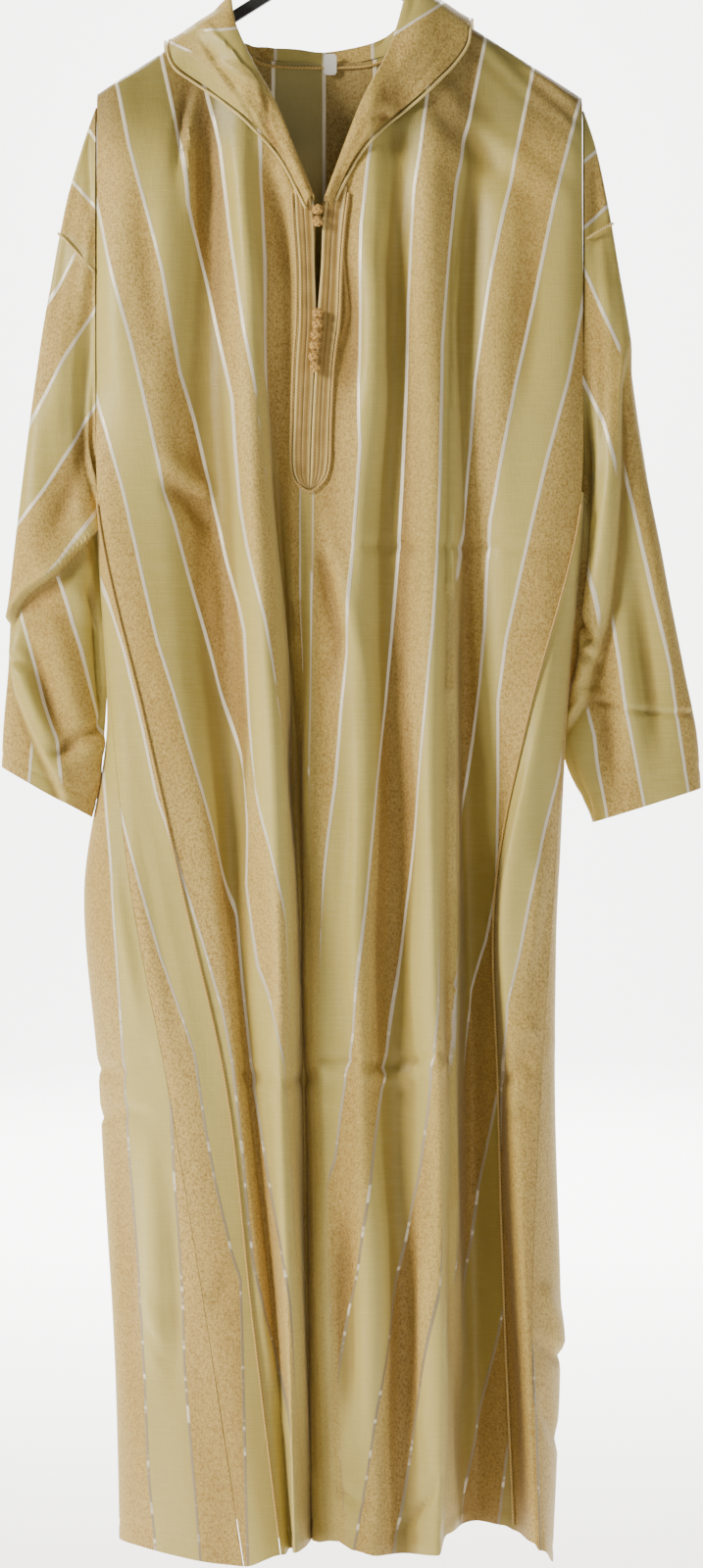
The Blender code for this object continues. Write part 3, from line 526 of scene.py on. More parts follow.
def wallPiece(name, outer, inner, material, count, plain, closed=False, skip=None, paintedFoldShading=None):
    rows, columns = outer.shape[:2]
    size = rows * columns
    index = np.arange(size).reshape(rows, columns)
    right = np.roll(index, -1, axis=1)
    if closed:
        a, b, c, d = index[:-1], index[1:], right[1:], right[:-1]
    else:
        a, b, c, d = index[:-1, :-1], index[1:, :-1], index[1:, 1:], index[:-1, 1:]
    skins = np.stack([a, b, c, d], axis=-1)
    if skip is not None:
        skins = skins[~skip]
    skins = skins.reshape(-1, 4)
    faces = [tuple(int(v) for v in skin) for skin in skins]
    edges = {(skin[k], skin[(k + 1) % 4]) for skin in faces for k in range(4)}
    faces += [tuple(size + v for v in reversed(skin)) for skin in faces]
    faces += [(q, p, p + size, q + size) for p, q in sorted(edges) if (q, p) not in edges]
    points = np.concatenate([outer.reshape(-1, 3), inner.reshape(-1, 3)])
    down = np.cumsum(np.linalg.norm(np.diff(outer, axis=0, prepend=outer[:1]), axis=-1), axis=0) / stripeRun
    flat = np.stack([count, down], axis=-1).reshape(-1, 2)
    used = np.unique(np.array([v for face in faces for v in face]))
    renumber = np.full(2 * size, -1)
    renumber[used] = np.arange(len(used))
    faces = [tuple(int(renumber[v]) for v in face) for face in faces]
    both = np.concatenate([flat, flat])[used]
    calm = np.concatenate([plain.ravel(), plain.ravel()])[used]
    deep = None if paintedFoldShading is None else np.concatenate([paintedFoldShading.ravel(), paintedFoldShading.ravel() * 0.0])[used]
    return meshPiece(name, points[used], faces, material, both, calm, deep)


def cordPiece(name, path, radius, material, bead, pitch):
    path, sides = [Vector(p) for p in path], cordSides
    last = len(path) - 1
    points, uv, faces = [], [], []
    run = 0.0
    for k, point in enumerate(path):
        along = (path[min(last, k + 1)] - path[max(0, k - 1)]).normalized()
        across = along.cross(Vector((0.0, 1.0, 0.02))).normalized()
        up = along.cross(across)
        if k:
            run += (point - path[k - 1]).length
        for a in range(sides):
            turn = 2.0 * pi * a / sides
            size = radius * (1.0 + bead * sin(2.0 * turn + 2.0 * pi * run / pitch))
            points.append(point + size * (across * cos(turn) + up * sin(turn)))
            uv.append((a / sides, run / stripeRun))
    for k in range(last):
        for a in range(sides):
            b = (a + 1) % sides
            faces.append((k * sides + a, (k + 1) * sides + a, (k + 1) * sides + b, k * sides + b))
    faces.append(tuple(reversed(range(sides))))
    faces.append(tuple(range(last * sides, (last + 1) * sides)))
    return meshPiece(name, np.array(points), faces, material, uv)


def finerPath(path, step):
    # the same route with points at even steps
    path = [Vector(p) for p in path]
    count = [max(1, int(round((path[k + 1] - path[k]).length / step))) for k in range(len(path) - 1)]
    route = []
    for k, parts in enumerate(count):
        route += [curveThrough(path, k + part / parts) for part in range(parts)]
    return route + [path[-1]]


def skinOf(piece):
    mesh = piece.data
    return BVHTree.FromPolygons([v.co / mm for v in mesh.vertices],
                                [tuple(p.vertices) for p in mesh.polygons])


# how y of the cloth is found: rays from far off, or from both banks of the open slit
reading = {"far": 400.0, "step": 0.5, "tries": 24, "banks": (-21.0, -12.0), "inset": 0.5}


def meet(skin, x, z, startY, side):
    for lower in range(reading["tries"]):
        start = Vector((x, startY, z - reading["step"] * lower))
        hit = skin.ray_cast(start, Vector((0.0, -side, 0.0)))[0]
        if hit:
            return hit.y
    return 0.0


def frontY(skin, x, z):
    far, inset = -reading["far"], reading["inset"]
    left, right = reading["banks"]
    if z > robe["openSlitZ"] and left + inset < x < right - inset:
        return (meet(skin, left, z, far, -1.0) + meet(skin, right, z, far, -1.0)) / 2.0
    return meet(skin, x, min(z, frontTop(x) - inset), far, -1.0)


def backY(skin, x, z):
    return meet(skin, x, min(z, backTop(x) - reading["inset"]), reading["far"], 1.0)


def dress(piece, node):
    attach(piece, "root")
    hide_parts(node)
    return piece


# materials
class Nodes:
    def __init__(self, name):
        self.material = bpy.data.materials.new(name)
        self.material.use_nodes = True
        self.tree = self.material.node_tree
        self.shader = self.tree.nodes["Principled BSDF"]

    def add(self, kind, settings=None, links=None):
        node = self.tree.nodes.new(kind)
        for key, value in (settings or {}).items():
            if isinstance(key, int) or key in node.inputs:
                node.inputs[key].default_value = value
            else:
                setattr(node, key, value)
        for key, source in (links or {}).items():
            self.tree.links.new(source, node.inputs[key])
        return node

    def feed(self, node, key, value):
        if hasattr(value, "is_output"):
            self.tree.links.new(value, node.inputs[key])
        else:
            node.inputs[key].default_value = (*value, 1.0) if isinstance(value, tuple) else value

    def finish(self, values, bumpSize=None, height=None):
        for key, value in values.items():
            self.feed(self.shader, key, value)
        if bumpSize:
            bump = self.add("ShaderNodeBump", {"Strength": bumpSize[0], "Distance": bumpSize[1]},
                            {"Height": height})
            self.feed(self.shader, "Normal", bump.outputs[0])
        return self.material

    def mathOf(self, operation, a, b=0.0):
        node = self.tree.nodes.new("ShaderNodeMath")
        node.operation = operation
        self.feed(node, 0, a)
        self.feed(node, 1, b)
        return node.outputs[0]

    def plus(self, a, b):
        return self.mathOf("ADD", a, b)

    def minus(self, a, b):
        return self.mathOf("SUBTRACT", a, b)

    def times(self, a, b):
        return self.mathOf("MULTIPLY", a, b)

    def offMiddle(self, turns):
        # how far a count is from the middle between two whole numbers
        return self.mathOf("ABSOLUTE", self.minus(self.mathOf("FRACT", turns), 0.5))

    def blend(self, factor, first, second, kind="MIX"):
        node = self.tree.nodes.new("ShaderNodeMix")
        node.data_type = "RGBA"
        node.blend_type = kind
        for key, value in ((0, factor), (6, first), (7, second)):
            self.feed(node, key, value)
        return node.outputs[2]

    def uv(self):
        stripes = self.add("ShaderNodeUVMap", {"uv_map": "stripes"}).outputs["UV"]
        return self.add("ShaderNodeSeparateXYZ", links={0: stripes}).outputs

    def place(self):
        return self.add("ShaderNodeTexCoord").outputs["Object"]

    def field(self, name):
        return self.add("ShaderNodeAttribute", {"attribute_name": name}).outputs["Fac"]

    def noise(self, place, scale, detail=2.0, rough=0.5, stretch=(1.0, 1.0, 1.0)):
        mapping = self.add("ShaderNodeMapping", {"Scale": stretch}, {"Vector": place})
        node = self.add("ShaderNodeTexNoise", {"Scale": scale, "Detail": detail, "Roughness": rough},
                        {"Vector": mapping.outputs[0]})
        return node.outputs["Fac"]

    def ramp(self, value, low, high, out=(0.0, 1.0)):
        node = self.add("ShaderNodeMapRange", {"From Min": low, "From Max": high,
                                               "To Min": out[0], "To Max": out[1]})
        node.interpolation_type = "SMOOTHSTEP"
        self.tree.links.new(value, node.inputs["Value"])
        return node.outputs["Result"]


def stripedCloth(name, look):
    # speckled tan and smooth olive bands with a silver stripe between them
    n = Nodes(name)
    place = n.place()
    count = n.uv()["X"]
    height = n.add("ShaderNodeSeparateXYZ", links={0: place}).outputs["Z"]
    calm = n.field("plain")
    slow, mottle, fuzz, fleck, thread, slub, dash, crumple = [
        n.noise(place, *clothNoises[key])
        for key in ("slow", "mottle", "fuzz", "fleck", "thread", "slub", "dash", "crumple")]

    wobble = n.times(n.minus(mottle, 0.5), 0.02)
    count = n.plus(count, wobble)
    band = n.mathOf("FLOOR", n.plus(count, 0.5))
    tanBand = n.mathOf("ABSOLUTE", n.mathOf("MODULO", band, 2.0))
    middle = n.offMiddle(n.plus(count, 64.0))
    half = n.ramp(height, -0.5, -1.05, look["stripeHalves"])
    across = n.mathOf("DIVIDE", middle, half)
    silver = n.ramp(across, 0.82, 1.12, (1.0, 0.0))
    edge = n.ramp(across, 1.05, 1.6, (1.0, 0.0))
    silver = n.times(silver, n.minus(1.0, calm))

    tanBase = n.blend(n.ramp(slow, 0.3, 0.7), look["tanDeep"], look["tanLight"])
    tanFleck = n.blend(n.ramp(fuzz, 0.42, 0.66, (0.0, look["fuzz"])), tanBase, look["tanBrown"])
    tanFleck = n.blend(n.ramp(fleck, 0.57, 0.7, (0.0, look["fuzz"] * 0.8)), tanFleck, look["tanBrown"])
    tanFleck = n.blend(n.ramp(fleck, 0.42, 0.28, (0.0, 0.35)), tanFleck, look["tanPale"])
    oliveBase = n.blend(n.ramp(slow, 0.3, 0.7), look["oliveDeep"], look["oliveLight"])
    oliveThread = n.blend(n.ramp(slub, 0.4, 0.75, (0.0, 0.16)), oliveBase, look["olivePale"])
    oliveThread = n.blend(n.ramp(thread, 0.45, 0.8, (0.0, 0.12)), oliveThread, look["oliveBrown"])
    cloth = n.blend(tanBand, oliveThread, tanFleck)
    both = n.blend(0.5, oliveThread, tanFleck)
    cloth = n.blend(n.times(calm, 0.8), cloth, both)

    # painted shade: above a wavy line over the shoulders the cloth is made greyer and darker
    shoulderShadeEdge = n.plus(height, n.times(n.minus(slow, 0.5), 0.05))
    shoulderShaded = n.ramp(shoulderShadeEdge, look["shoulderShadeZ"] - 0.03, look["shoulderShadeZ"] + 0.03, (0.0, look["shoulderShade"]))
    cloth = n.blend(shoulderShaded, cloth, n.blend(1.0, cloth, look["shoulderShadeTint"], "MULTIPLY"))
    # painted shade: the cloth is darker and duller towards the bottom
    low = n.ramp(height, -0.95, -1.5, (0.0, look["lower"]))
    cloth = n.blend(low, cloth, n.blend(0.8, cloth, look["paintedLowShade"], "MULTIPLY"))

    # painted shade darkens the bottoms of the folds to a deeper gold, and painted highlight lightens their
    # crests
    paintedFoldShading = n.field("paintedFoldShading")
    cloth = n.blend(n.ramp(paintedFoldShading, 0.06, 0.9, (0.0, look["valley"])), cloth,
                    n.blend(1.0, cloth, look["paintedValleyShade"], "MULTIPLY"))
    cloth = n.blend(n.ramp(paintedFoldShading, -0.08, -0.9, (0.0, look["crest"])), cloth,
                    n.blend(1.0, cloth, look["paintedCrestHighlight"], "SCREEN"))

    # silver is broken into dashes and turns grey low down
    lowStripe = n.ramp(height, -0.85, -1.3, (0.0, 1.0))
    greyLow = n.times(lowStripe, n.ramp(dash, 0.56, 0.66, (1.0, 0.1)))
    silverColour = n.blend(greyLow, look["silver"], look["silverGreyLow"])
    cloth = n.blend(n.times(edge, 0.22), cloth, look["stripeEdge"])
    cloth = n.blend(silver, cloth, silverColour)
    rough = n.blend(tanBand, (look["oliveRough"],) * 3, (look["tanRough"],) * 3)
    rough = n.blend(silver, rough, (look["silverRough"],) * 3)

    weave = n.plus(n.times(thread, 0.6), n.times(slub, 0.6))
    nap = n.plus(n.times(fuzz, 1.2), n.times(fleck, 0.8))
    surface = n.plus(n.times(nap, tanBand),
                       n.times(weave, n.minus(1.0, tanBand)))
    surface = n.plus(surface, n.times(silver, 0.8))
    fine = n.add("ShaderNodeBump", {"Strength": look["napBump"], "Distance": 0.0006}, {"Height": surface})
    soft = n.add("ShaderNodeBump", {"Strength": look["crumple"], "Distance": 0.004},
                 {"Height": crumple, "Normal": fine.outputs[0]})
    return n.finish({"Base Color": cloth, "Roughness": rough, "Metallic": n.times(silver, 0.12),
                     "Normal": soft.outputs[0], "Sheen Weight": 0.12, "Sheen Roughness": 0.5,
                     "Specular IOR Level": 0.42, "Subsurface Weight": 0.0})


# noises in the cloth: scale, detail, roughness and stretch
clothNoises = {
    "slow": (9.0, 2.0, 0.5, (1.0, 1.0, 0.35)), "mottle": (60.0, 3.0, 0.6),
    "fuzz": (620.0, 3.0, 0.72, (1.0, 1.0, 0.6)), "fleck": (380.0, 2.0, 0.6, (1.0, 1.0, 1.5)),
    "thread": (900.0, 1.0, 0.5, (1.0, 1.0, 0.08)), "slub": (700.0, 1.0, 0.5, (0.06, 0.06, 1.0)),
    "dash": (55.0, 2.0, 0.7, (0.2, 0.2, 1.0)), "crumple": (24.0, 4.0, 0.55, (1.0, 1.0, 0.45)),
}
clothLook = {
    "oliveRough": 0.44, "tanRough": 0.62, "silverRough": 0.36,
    "stripeHalves": (0.076, 0.056), "fuzz": 0.85, "napBump": 0.6, "crumple": 0.45,
    "tanLight": (0.66, 0.475, 0.145), "tanDeep": (0.55, 0.38, 0.092), "tanBrown": (0.33, 0.19, 0.034),
    "tanPale": (0.86, 0.68, 0.30),
    "oliveLight": (0.60, 0.495, 0.145), "oliveDeep": (0.50, 0.40, 0.10), "olivePale": (0.72, 0.63, 0.25),
    "oliveBrown": (0.34, 0.24, 0.05),
    "silver": (0.86, 0.78, 0.60), "silverGreyLow": (0.33, 0.26, 0.15), "stripeEdge": (0.42, 0.31, 0.11),
    # painted shade over the shoulders
    "shoulderShadeZ": -0.245, "shoulderShade": 1.0, "shoulderShadeTint": (0.58, 0.59, 0.60),
    # painted shade in the bottoms of folds and painted highlight on their crests
    "valley": 0.8, "paintedValleyShade": (0.58, 0.50, 0.36), "crest": 0.5, "paintedCrestHighlight": (0.20, 0.16, 0.04),
    # painted shade towards the bottom
    "lower": 0.7, "paintedLowShade": (0.88, 0.84, 0.80),
}
stripedFabric = stripedCloth("stripedFabric", clothLook)
hoodFabric = stripedCloth("hoodFabric", {**clothLook, "shoulderShade": 0.15})


def cordFinish(name, colours, pitch, rough):
    # satin cord: light and deep strands wind round it
    n = Nodes(name)
    uv = n.uv()
    wound = n.plus(n.times(uv["X"], 2.0), n.times(uv["Y"], stripeRun / pitch))
    strand = n.offMiddle(wound)
    speck = n.noise(n.place(), 900.0, 2.0, 0.6)
    colour = n.blend(n.ramp(strand, 0.02, 0.3), colours[1], colours[0])
    colour = n.blend(n.ramp(speck, 0.45, 0.7, (0.0, 0.3)), colour, colours[1])
    return n.finish({"Base Color": colour, "Roughness": rough, "Sheen Weight": 0.2,
                     "Specular IOR Level": 0.4}, (0.6, 0.0005), strand)


goldCord = cordFinish("goldCord", ((0.66, 0.46, 0.14), (0.36, 0.21, 0.045)), 3.2, 0.42)
paleCord = cordFinish("paleCord", ((0.78, 0.62, 0.24), (0.50, 0.36, 0.10)), 2.6, 0.45)
knotCord = cordFinish("knotCord", ((0.68, 0.42, 0.12), (0.34, 0.18, 0.03)), 2.4, 0.45)


def braidFinish():
    n = Nodes("sewnBraid")
    place = n.place()
    uv = n.uv()
    speck = n.noise(place, 700.0, 2.0, 0.6)
    slow = n.noise(place, 60.0, 2.0, 0.5)
    # light cords lie along both edges and twisted ropes between them
    groove = n.offMiddle(n.times(uv["X"], 4.0))
    strand = n.offMiddle(n.plus(n.times(uv["Y"], 16.0), n.times(groove, 1.4)))
    atEdge = n.mathOf("ABSOLUTE", n.minus(uv["X"], 0.5))
    colour = n.blend(n.ramp(slow, 0.3, 0.7), (0.37, 0.235, 0.055), (0.48, 0.325, 0.09))
    colour = n.blend(n.ramp(strand, 0.30, 0.12, (0.0, 0.55)), colour, (0.30, 0.165, 0.03))
    colour = n.blend(n.ramp(atEdge, 0.33, 0.40, (0.0, 0.9)), colour, (0.80, 0.62, 0.24))
    # painted shade: the grooves between the ropes and along the band's edges are darkened
    colour = n.blend(n.ramp(groove, 0.34, 0.5, (0.0, 0.8)), colour, (0.26, 0.14, 0.025))
    colour = n.blend(n.ramp(speck, 0.45, 0.7, (0.0, 0.3)), colour, (0.40, 0.25, 0.06))
    return n.finish({"Base Color": colour, "Roughness": 0.5, "Sheen Weight": 0.2}, (0.4, 0.0004), speck)


def plainFinish(name, light, deep, rough, scale, bumpSize, metal=0.0):
    n = Nodes(name)
    grain = n.noise(n.place(), scale, 3.0, 0.6)
    return n.finish({"Base Color": n.blend(n.ramp(grain, 0.35, 0.65), deep, light),
                     "Roughness": n.ramp(grain, 0.3, 0.7, (rough - 0.07, rough + 0.07)),
                     "Metallic": metal}, (0.3, bumpSize), grain)


sewnBraid = braidFinish()
blankLabel = plainFinish("blankLabel", (0.86, 0.86, 0.84), (0.76, 0.76, 0.74), 0.75, 1500.0, 0.0002)
blackPlastic = plainFinish("blackPlastic", (0.025, 0.025, 0.026), (0.012, 0.012, 0.012), 0.48, 500.0,
                           0.0002)
blackWire = plainFinish("blackWire", (0.03, 0.03, 0.03), (0.015, 0.015, 0.015), 0.34, 300.0, 0.0001, 0.6)
for node, finish in (("hanger_arms", blackPlastic), ("hanger_hook", blackWire)):
    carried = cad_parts[node]
    carried.data.materials.clear()
    carried.data.materials.append(finish)
print("materials ready")

# stripes as the photograph shows them, from left to right, photo
frontStripes = (
    ((100, 587), (126, 665), (144, 740), (159, 812), (172, 850), (183, 888), (206, 960), (227, 1033),
     (236, 1080), (247, 1177), (252, 1235), (258, 1290), (270, 1345), (286, 1402), (300, 1470), (310, 1560)),
    ((85, 360), (105, 431), (125, 500), (150, 611), (160, 654), (176, 704), (191, 757), (205, 804),
     (224, 871), (241, 933), (247, 1004), (258, 1106), (273, 1200), (286, 1270), (296, 1330), (304, 1420),
     (312, 1560)),
    ((85, 150), (110, 259), (134, 351), (152, 430), (167, 500), (178, 533), (193, 590), (207, 640),
     (229, 723), (241, 769), (248, 798), (251, 845), (250, 902), (261, 986), (282, 1055), (293, 1093),
     (300, 1180), (306, 1300), (311, 1430), (318, 1560)),
    ((120, 90), (132, 150), (165, 275), (183, 380), (198, 430), (219, 520), (231, 573), (243, 616),
     (249, 645), (252, 735), (258, 804), (269, 847), (286, 910), (295, 943), (299, 1000), (302, 1100),
     (306, 1200), (310, 1320), (314, 1440), (322, 1560)),
    ((165, 60), (184, 150), (190, 210), (214, 302), (237, 407), (240, 455), (245, 516), (252, 559),
     (260, 594), (269, 628), (284, 700), (292, 743), (298, 800), (300, 900), (302, 1000), (305, 1100),
     (309, 1200), (313, 1320), (317, 1440), (325, 1560)),
    ((204, 70), (223, 150), (234, 239), (248, 333), (263, 407), (271, 455), (277, 508), (284, 568),
     (288, 637), (293, 709), (299, 752), (301, 850), (304, 950), (308, 1100), (312, 1200), (320, 1440),
     (328, 1560)),
    ((258, 60), (266, 150), (271, 262), (271, 420), (274, 455), (279, 500), (287, 560), (292, 640),
     (297, 709), (302, 752), (304, 850), (306, 950), (310, 1100), (314, 1200), (322, 1440), (330, 1560)),
    ((308, 60), (308, 500), (307, 560), (306, 602), (306, 829), (308, 900), (310, 1000), (311, 1100),
     (315, 1200), (323, 1440), (331, 1560)),
    ((317, 60), (317, 500), (316, 700), (315, 829), (316, 1000), (317, 1100), (318, 1200), (325, 1440),
     (333, 1560)),
    ((390, 60), (377, 151), (368, 229), (366, 320), (364, 390), (367, 456), (363, 510), (359, 558),
     (353, 668), (347, 720), (341, 800), (332, 877), (323, 963), (317, 1050), (316, 1120), (318, 1200),
     (326, 1440), (334, 1560)),
    ((439, 64), (423, 197), (416, 320), (414, 398), (410, 488), (405, 575), (399, 651), (392, 720),
     (381, 800), (359, 1055), (350, 1116), (342, 1183), (332, 1210), (322, 1285), (320, 1340),
     (329, 1450), (337, 1560)),
    ((491, 59), (466, 183), (457, 274), (451, 350), (449, 488), (446, 564), (441, 640), (433, 720),
     (424, 800), (414, 902), (396, 1068), (378, 1200), (365, 1297), (354, 1335), (340, 1410), (331, 1475),
     (326, 1547)),
    ((542, 78), (521, 183), (503, 274), (485, 389), (480, 456), (473, 521), (466, 575), (458, 640),
     (454, 694), (456, 760), (457, 850), (455, 943), (447, 1030), (438, 1111), (427, 1200), (405, 1302),
     (396, 1363), (386, 1424), (378, 1480), (365, 1557)),
    ((588, 114), (567, 197), (544, 311), (526, 390), (510, 473), (500, 532), (497, 586), (495, 640),
     (490, 694), (475, 800), (465, 851), (458, 902), (461, 1000), (462, 1100), (459, 1200), (450, 1307),
     (438, 1373), (422, 1455), (413, 1519), (405, 1570)),
    ((603, 260), (592, 320), (580, 385), (558, 467), (540, 543), (527, 601), (516, 651), (508, 716),
     (508, 800), (506, 900), (495, 960), (480, 1013), (472, 1070), (465, 1133), (462, 1200), (461, 1300),
     (460, 1400), (457, 1550)),
    ((625, 484), (605, 575), (580, 673), (540, 800), (528, 900), (520, 1000), (513, 1083), (503, 1137),
     (487, 1210), (480, 1272), (467, 1330), (463, 1380), (462, 1450), (461, 1560)),
    ((567, 800), (557, 838), (544, 894), (531, 976), (522, 1024), (522, 1130), (525, 1247), (517, 1317),
     (505, 1372), (490, 1435), (480, 1485), (470, 1540)),
    ((600, 1000), (570, 1200), (548, 1340), (537, 1397), (525, 1447), (517, 1480), (510, 1545)),
)
goreFrontLeftStripes = (
    ((90, 700), (110, 780), (129, 853), (149, 927), (162, 973), (173, 1004), (185, 1037), (198, 1075),
     (209, 1150), (220, 1210), (237, 1282), (245, 1305), (251, 1530)),
    ((100, 587), (126, 665), (144, 740), (159, 812), (172, 850), (183, 888), (206, 960), (227, 1033),
     (240, 1080), (262, 1200), (275, 1300), (285, 1430)),
)
goreBackLeftStripes = (
    ((98, 700), (106, 800), (115, 894), (120, 984), (128, 1129), (133, 1200), (139, 1289), (147, 1417),
     (152, 1506), (158, 1582)),
    ((150, 850), (163, 980), (173, 1100), (177, 1200), (185, 1327), (187, 1391), (195, 1480), (204, 1580)),
)
goreFrontRightStripes = (
    ((580, 740), (567, 800), (557, 838), (544, 894), (529, 976), (517, 1024), (512, 1100), (505, 1300),
     (500, 1560)),
)
goreBackRightStripes = (
    ((520, 1100), (533, 1300), (543, 1380), (547, 1460), (550, 1572)),
    ((600, 1100), (598, 1572)),
)

# Folds and creases: millimetres out, pixels wide, line in the photograph
frontFolds = (
    (2.6, 6, ((202, 78), (192, 120), (188, 170), (194, 230))),
    (-2.8, 5, ((194, 84), (184, 130), (180, 185))),
    (-2.4, 7, ((218, 96), (210, 150), (208, 220), (216, 290))),
    (2.5, 9, ((232, 120), (244, 180), (252, 260), (262, 330))),
    (-3.5, 8, ((262, 150), (281, 210), (292, 290), (291, 380), (286, 450))),
    (2.5, 10, ((172, 470), (187, 486), (205, 500))),
    (-2.5, 9, ((176, 500), (195, 512), (215, 540))),
    (-2.2, 12, ((140, 170), (150, 260), (165, 380))),
    (2.0, 14, ((112, 200), (118, 330), (128, 450))),
    (3.0, 12, ((368, 215), (384, 300), (385, 400), (376, 520))),
    (-3.0, 12, ((352, 262), (356, 330), (360, 420))),
    (-2.5, 12, ((408, 190), (402, 300), (400, 420))),
    (2.0, 15, ((440, 120), (430, 260), (428, 420))),
    (-2.2, 13, ((478, 160), (470, 300), (468, 420))),
    (1.8, 18, ((520, 130), (505, 260), (498, 420))),
    (-1.6, 16, ((555, 220), (540, 330), (520, 470))),
    (-1.1, 5, ((420, 562), (470, 557), (530, 560), (590, 556))),
    (-1.0, 5, ((345, 560), (380, 556), (420, 560))),
    (-1.5, 5, ((250, 1098), (290, 1104), (320, 1098))),
    (-1.5, 5, ((330, 1080), (390, 1088), (450, 1076))),
    (1.4, 6, ((330, 1092), (390, 1100), (450, 1088))),
    (-2.6, 9, ((300, 560), (306, 640), (305, 760), (304, 880))),
    (2.2, 7, ((318, 502), (316, 600), (314, 740), (312, 900))),
    (-2.2, 12, ((362, 640), (358, 760), (352, 900), (345, 1050))),
    (2.4, 11, ((482, 150), (467, 300), (460, 420), (459, 560), (458, 700), (458, 850), (460, 1000),
               (461, 1200), (460, 1400), (458, 1530)), "step"),
    (-2.0, 7, ((318, 545), (332, 590), (344, 650), (338, 710))),
    (2.0, 8, ((326, 510), (350, 590), (368, 680), (370, 730))),
    (2.5, 14, ((386, 560), (378, 720), (368, 900), (356, 1080))),
    (-2.4, 15, ((424, 640), (412, 820), (398, 1000), (384, 1180))),
    (-2.5, 12, ((232, 640), (238, 740), (236, 860), (232, 980))),
    (2.5, 11, ((212, 560), (222, 650), (232, 720))),
    (-2.0, 10, ((268, 840), (272, 960), (272, 1080))),
    (2.0, 12, ((330, 1150), (330, 1300), (335, 1450))),
    (-2.6, 12, ((352, 1210), (350, 1330), (352, 1480))),
    (2.2, 14, ((388, 1180), (382, 1330), (376, 1500))),
    (-2.4, 12, ((418, 1220), (412, 1370), (404, 1530))),
    (1.8, 11, ((436, 1250), (436, 1400), (432, 1520))),
    (-1.8, 4, ((345, 1520), (362, 1533), (378, 1535))),
    (-1.6, 4, ((410, 1560), (432, 1535), (447, 1508))),
    (1.2, 5, ((251, 1200), (267, 1353), (282, 1430), (302, 1488))),
)
# Painted shade along the bottoms of deep folds, and with a minus painted highlight on crests: how much,
# pixels wide, line
frontPaintedShades = (
    (0.9, 8, ((274, 490), (283, 560), (292, 640))),
    (0.9, 6, ((295, 620), (300, 700), (302, 860), (306, 1000))),
    (0.8, 5, ((312, 1010), (314, 1100), (316, 1250), (322, 1500))),
    (0.8, 20, ((472, 780), (476, 900), (482, 1100), (490, 1300), (497, 1500))),
    (0.9, 26, ((498, 900), (500, 1000), (505, 1200), (512, 1400), (515, 1540))),
    (0.6, 6, ((461, 200), (460, 420), (460, 700))),
    (0.5, 10, ((212, 980), (222, 1100), (238, 1250), (250, 1400))),
    (-0.9, 8, ((250, 250), (258, 330), (262, 420), (268, 520), (279, 640), (283, 760))),
    (-0.9, 8, ((388, 230), (387, 400), (380, 520), (372, 640))),
    (-0.6, 10, ((345, 760), (338, 900), (332, 1040))),
)
goreFolds = (
    (-2.0, 8, ((134, 800), (150, 900), (172, 1010), (190, 1110))),
    (2.0, 10, ((118, 870), (130, 960), (142, 1060))),
    (-1.6, 5, ((96, 1137), (112, 1140), (130, 1133), (150, 1142))),
    (-1.5, 6, ((100, 1090), (120, 1098), (150, 1080))),
    (2.2, 12, ((150, 1120), (156, 1230), (160, 1380))),
    (-2.0, 10, ((168, 1180), (172, 1300), (180, 1450))),
    (-1.8, 12, ((128, 1200), (130, 1330), (140, 1480))),
    (-1.4, 4, ((154, 1360), (160, 1372), (163, 1388))),
    (2.0, 8, ((150, 1320), (158, 1340), (160, 1400))),
    (-2.0, 6, ((205, 1305), (216, 1330), (232, 1310))),
    (-2.0, 7, ((520, 1100), (534, 1085), (552, 1094))),
    (1.8, 6, ((524, 1060), (540, 1050), (556, 1062))),
    (-1.6, 6, ((526, 1140), (540, 1128), (550, 1136))),
    (2.2, 9, ((548, 860), (550, 920), (540, 1000))),
    (-1.8, 8, ((560, 880), (556, 950), (548, 1030))),
    (-2.4, 5, ((540, 1362), (552, 1372), (566, 1384))),
    (2.0, 7, ((556, 1320), (564, 1345), (570, 1370))),
    (-1.6, 6, ((552, 1430), (560, 1450), (568, 1470))),
)
backFolds = (
    (-2.2, 12, ((300, 200), (296, 500), (290, 900), (284, 1300))),
    (2.4, 13, ((250, 260), (244, 600), (238, 1000), (230, 1400))),
    (-2.0, 11, ((180, 260), (182, 560), (176, 900))),
    (2.2, 12, ((370, 240), (372, 600), (374, 900), (378, 1200))),
    (-2.4, 12, ((420, 200), (424, 560), (430, 1000), (436, 1400))),
    (2.0, 12, ((500, 240), (498, 560), (490, 900))),
    (-2.0, 12, ((540, 300), (536, 620), (524, 980), (512, 1350))),
    (-1.4, 5, ((150, 560), (260, 556), (380, 562), (520, 555))),
    (-1.6, 5, ((140, 1090), (260, 1098), (400, 1086), (530, 1096))),
    (1.8, 12, ((210, 1000), (206, 1250), (200, 1500))),
    (1.8, 14, ((460, 900), (462, 1200), (466, 1480))),
)


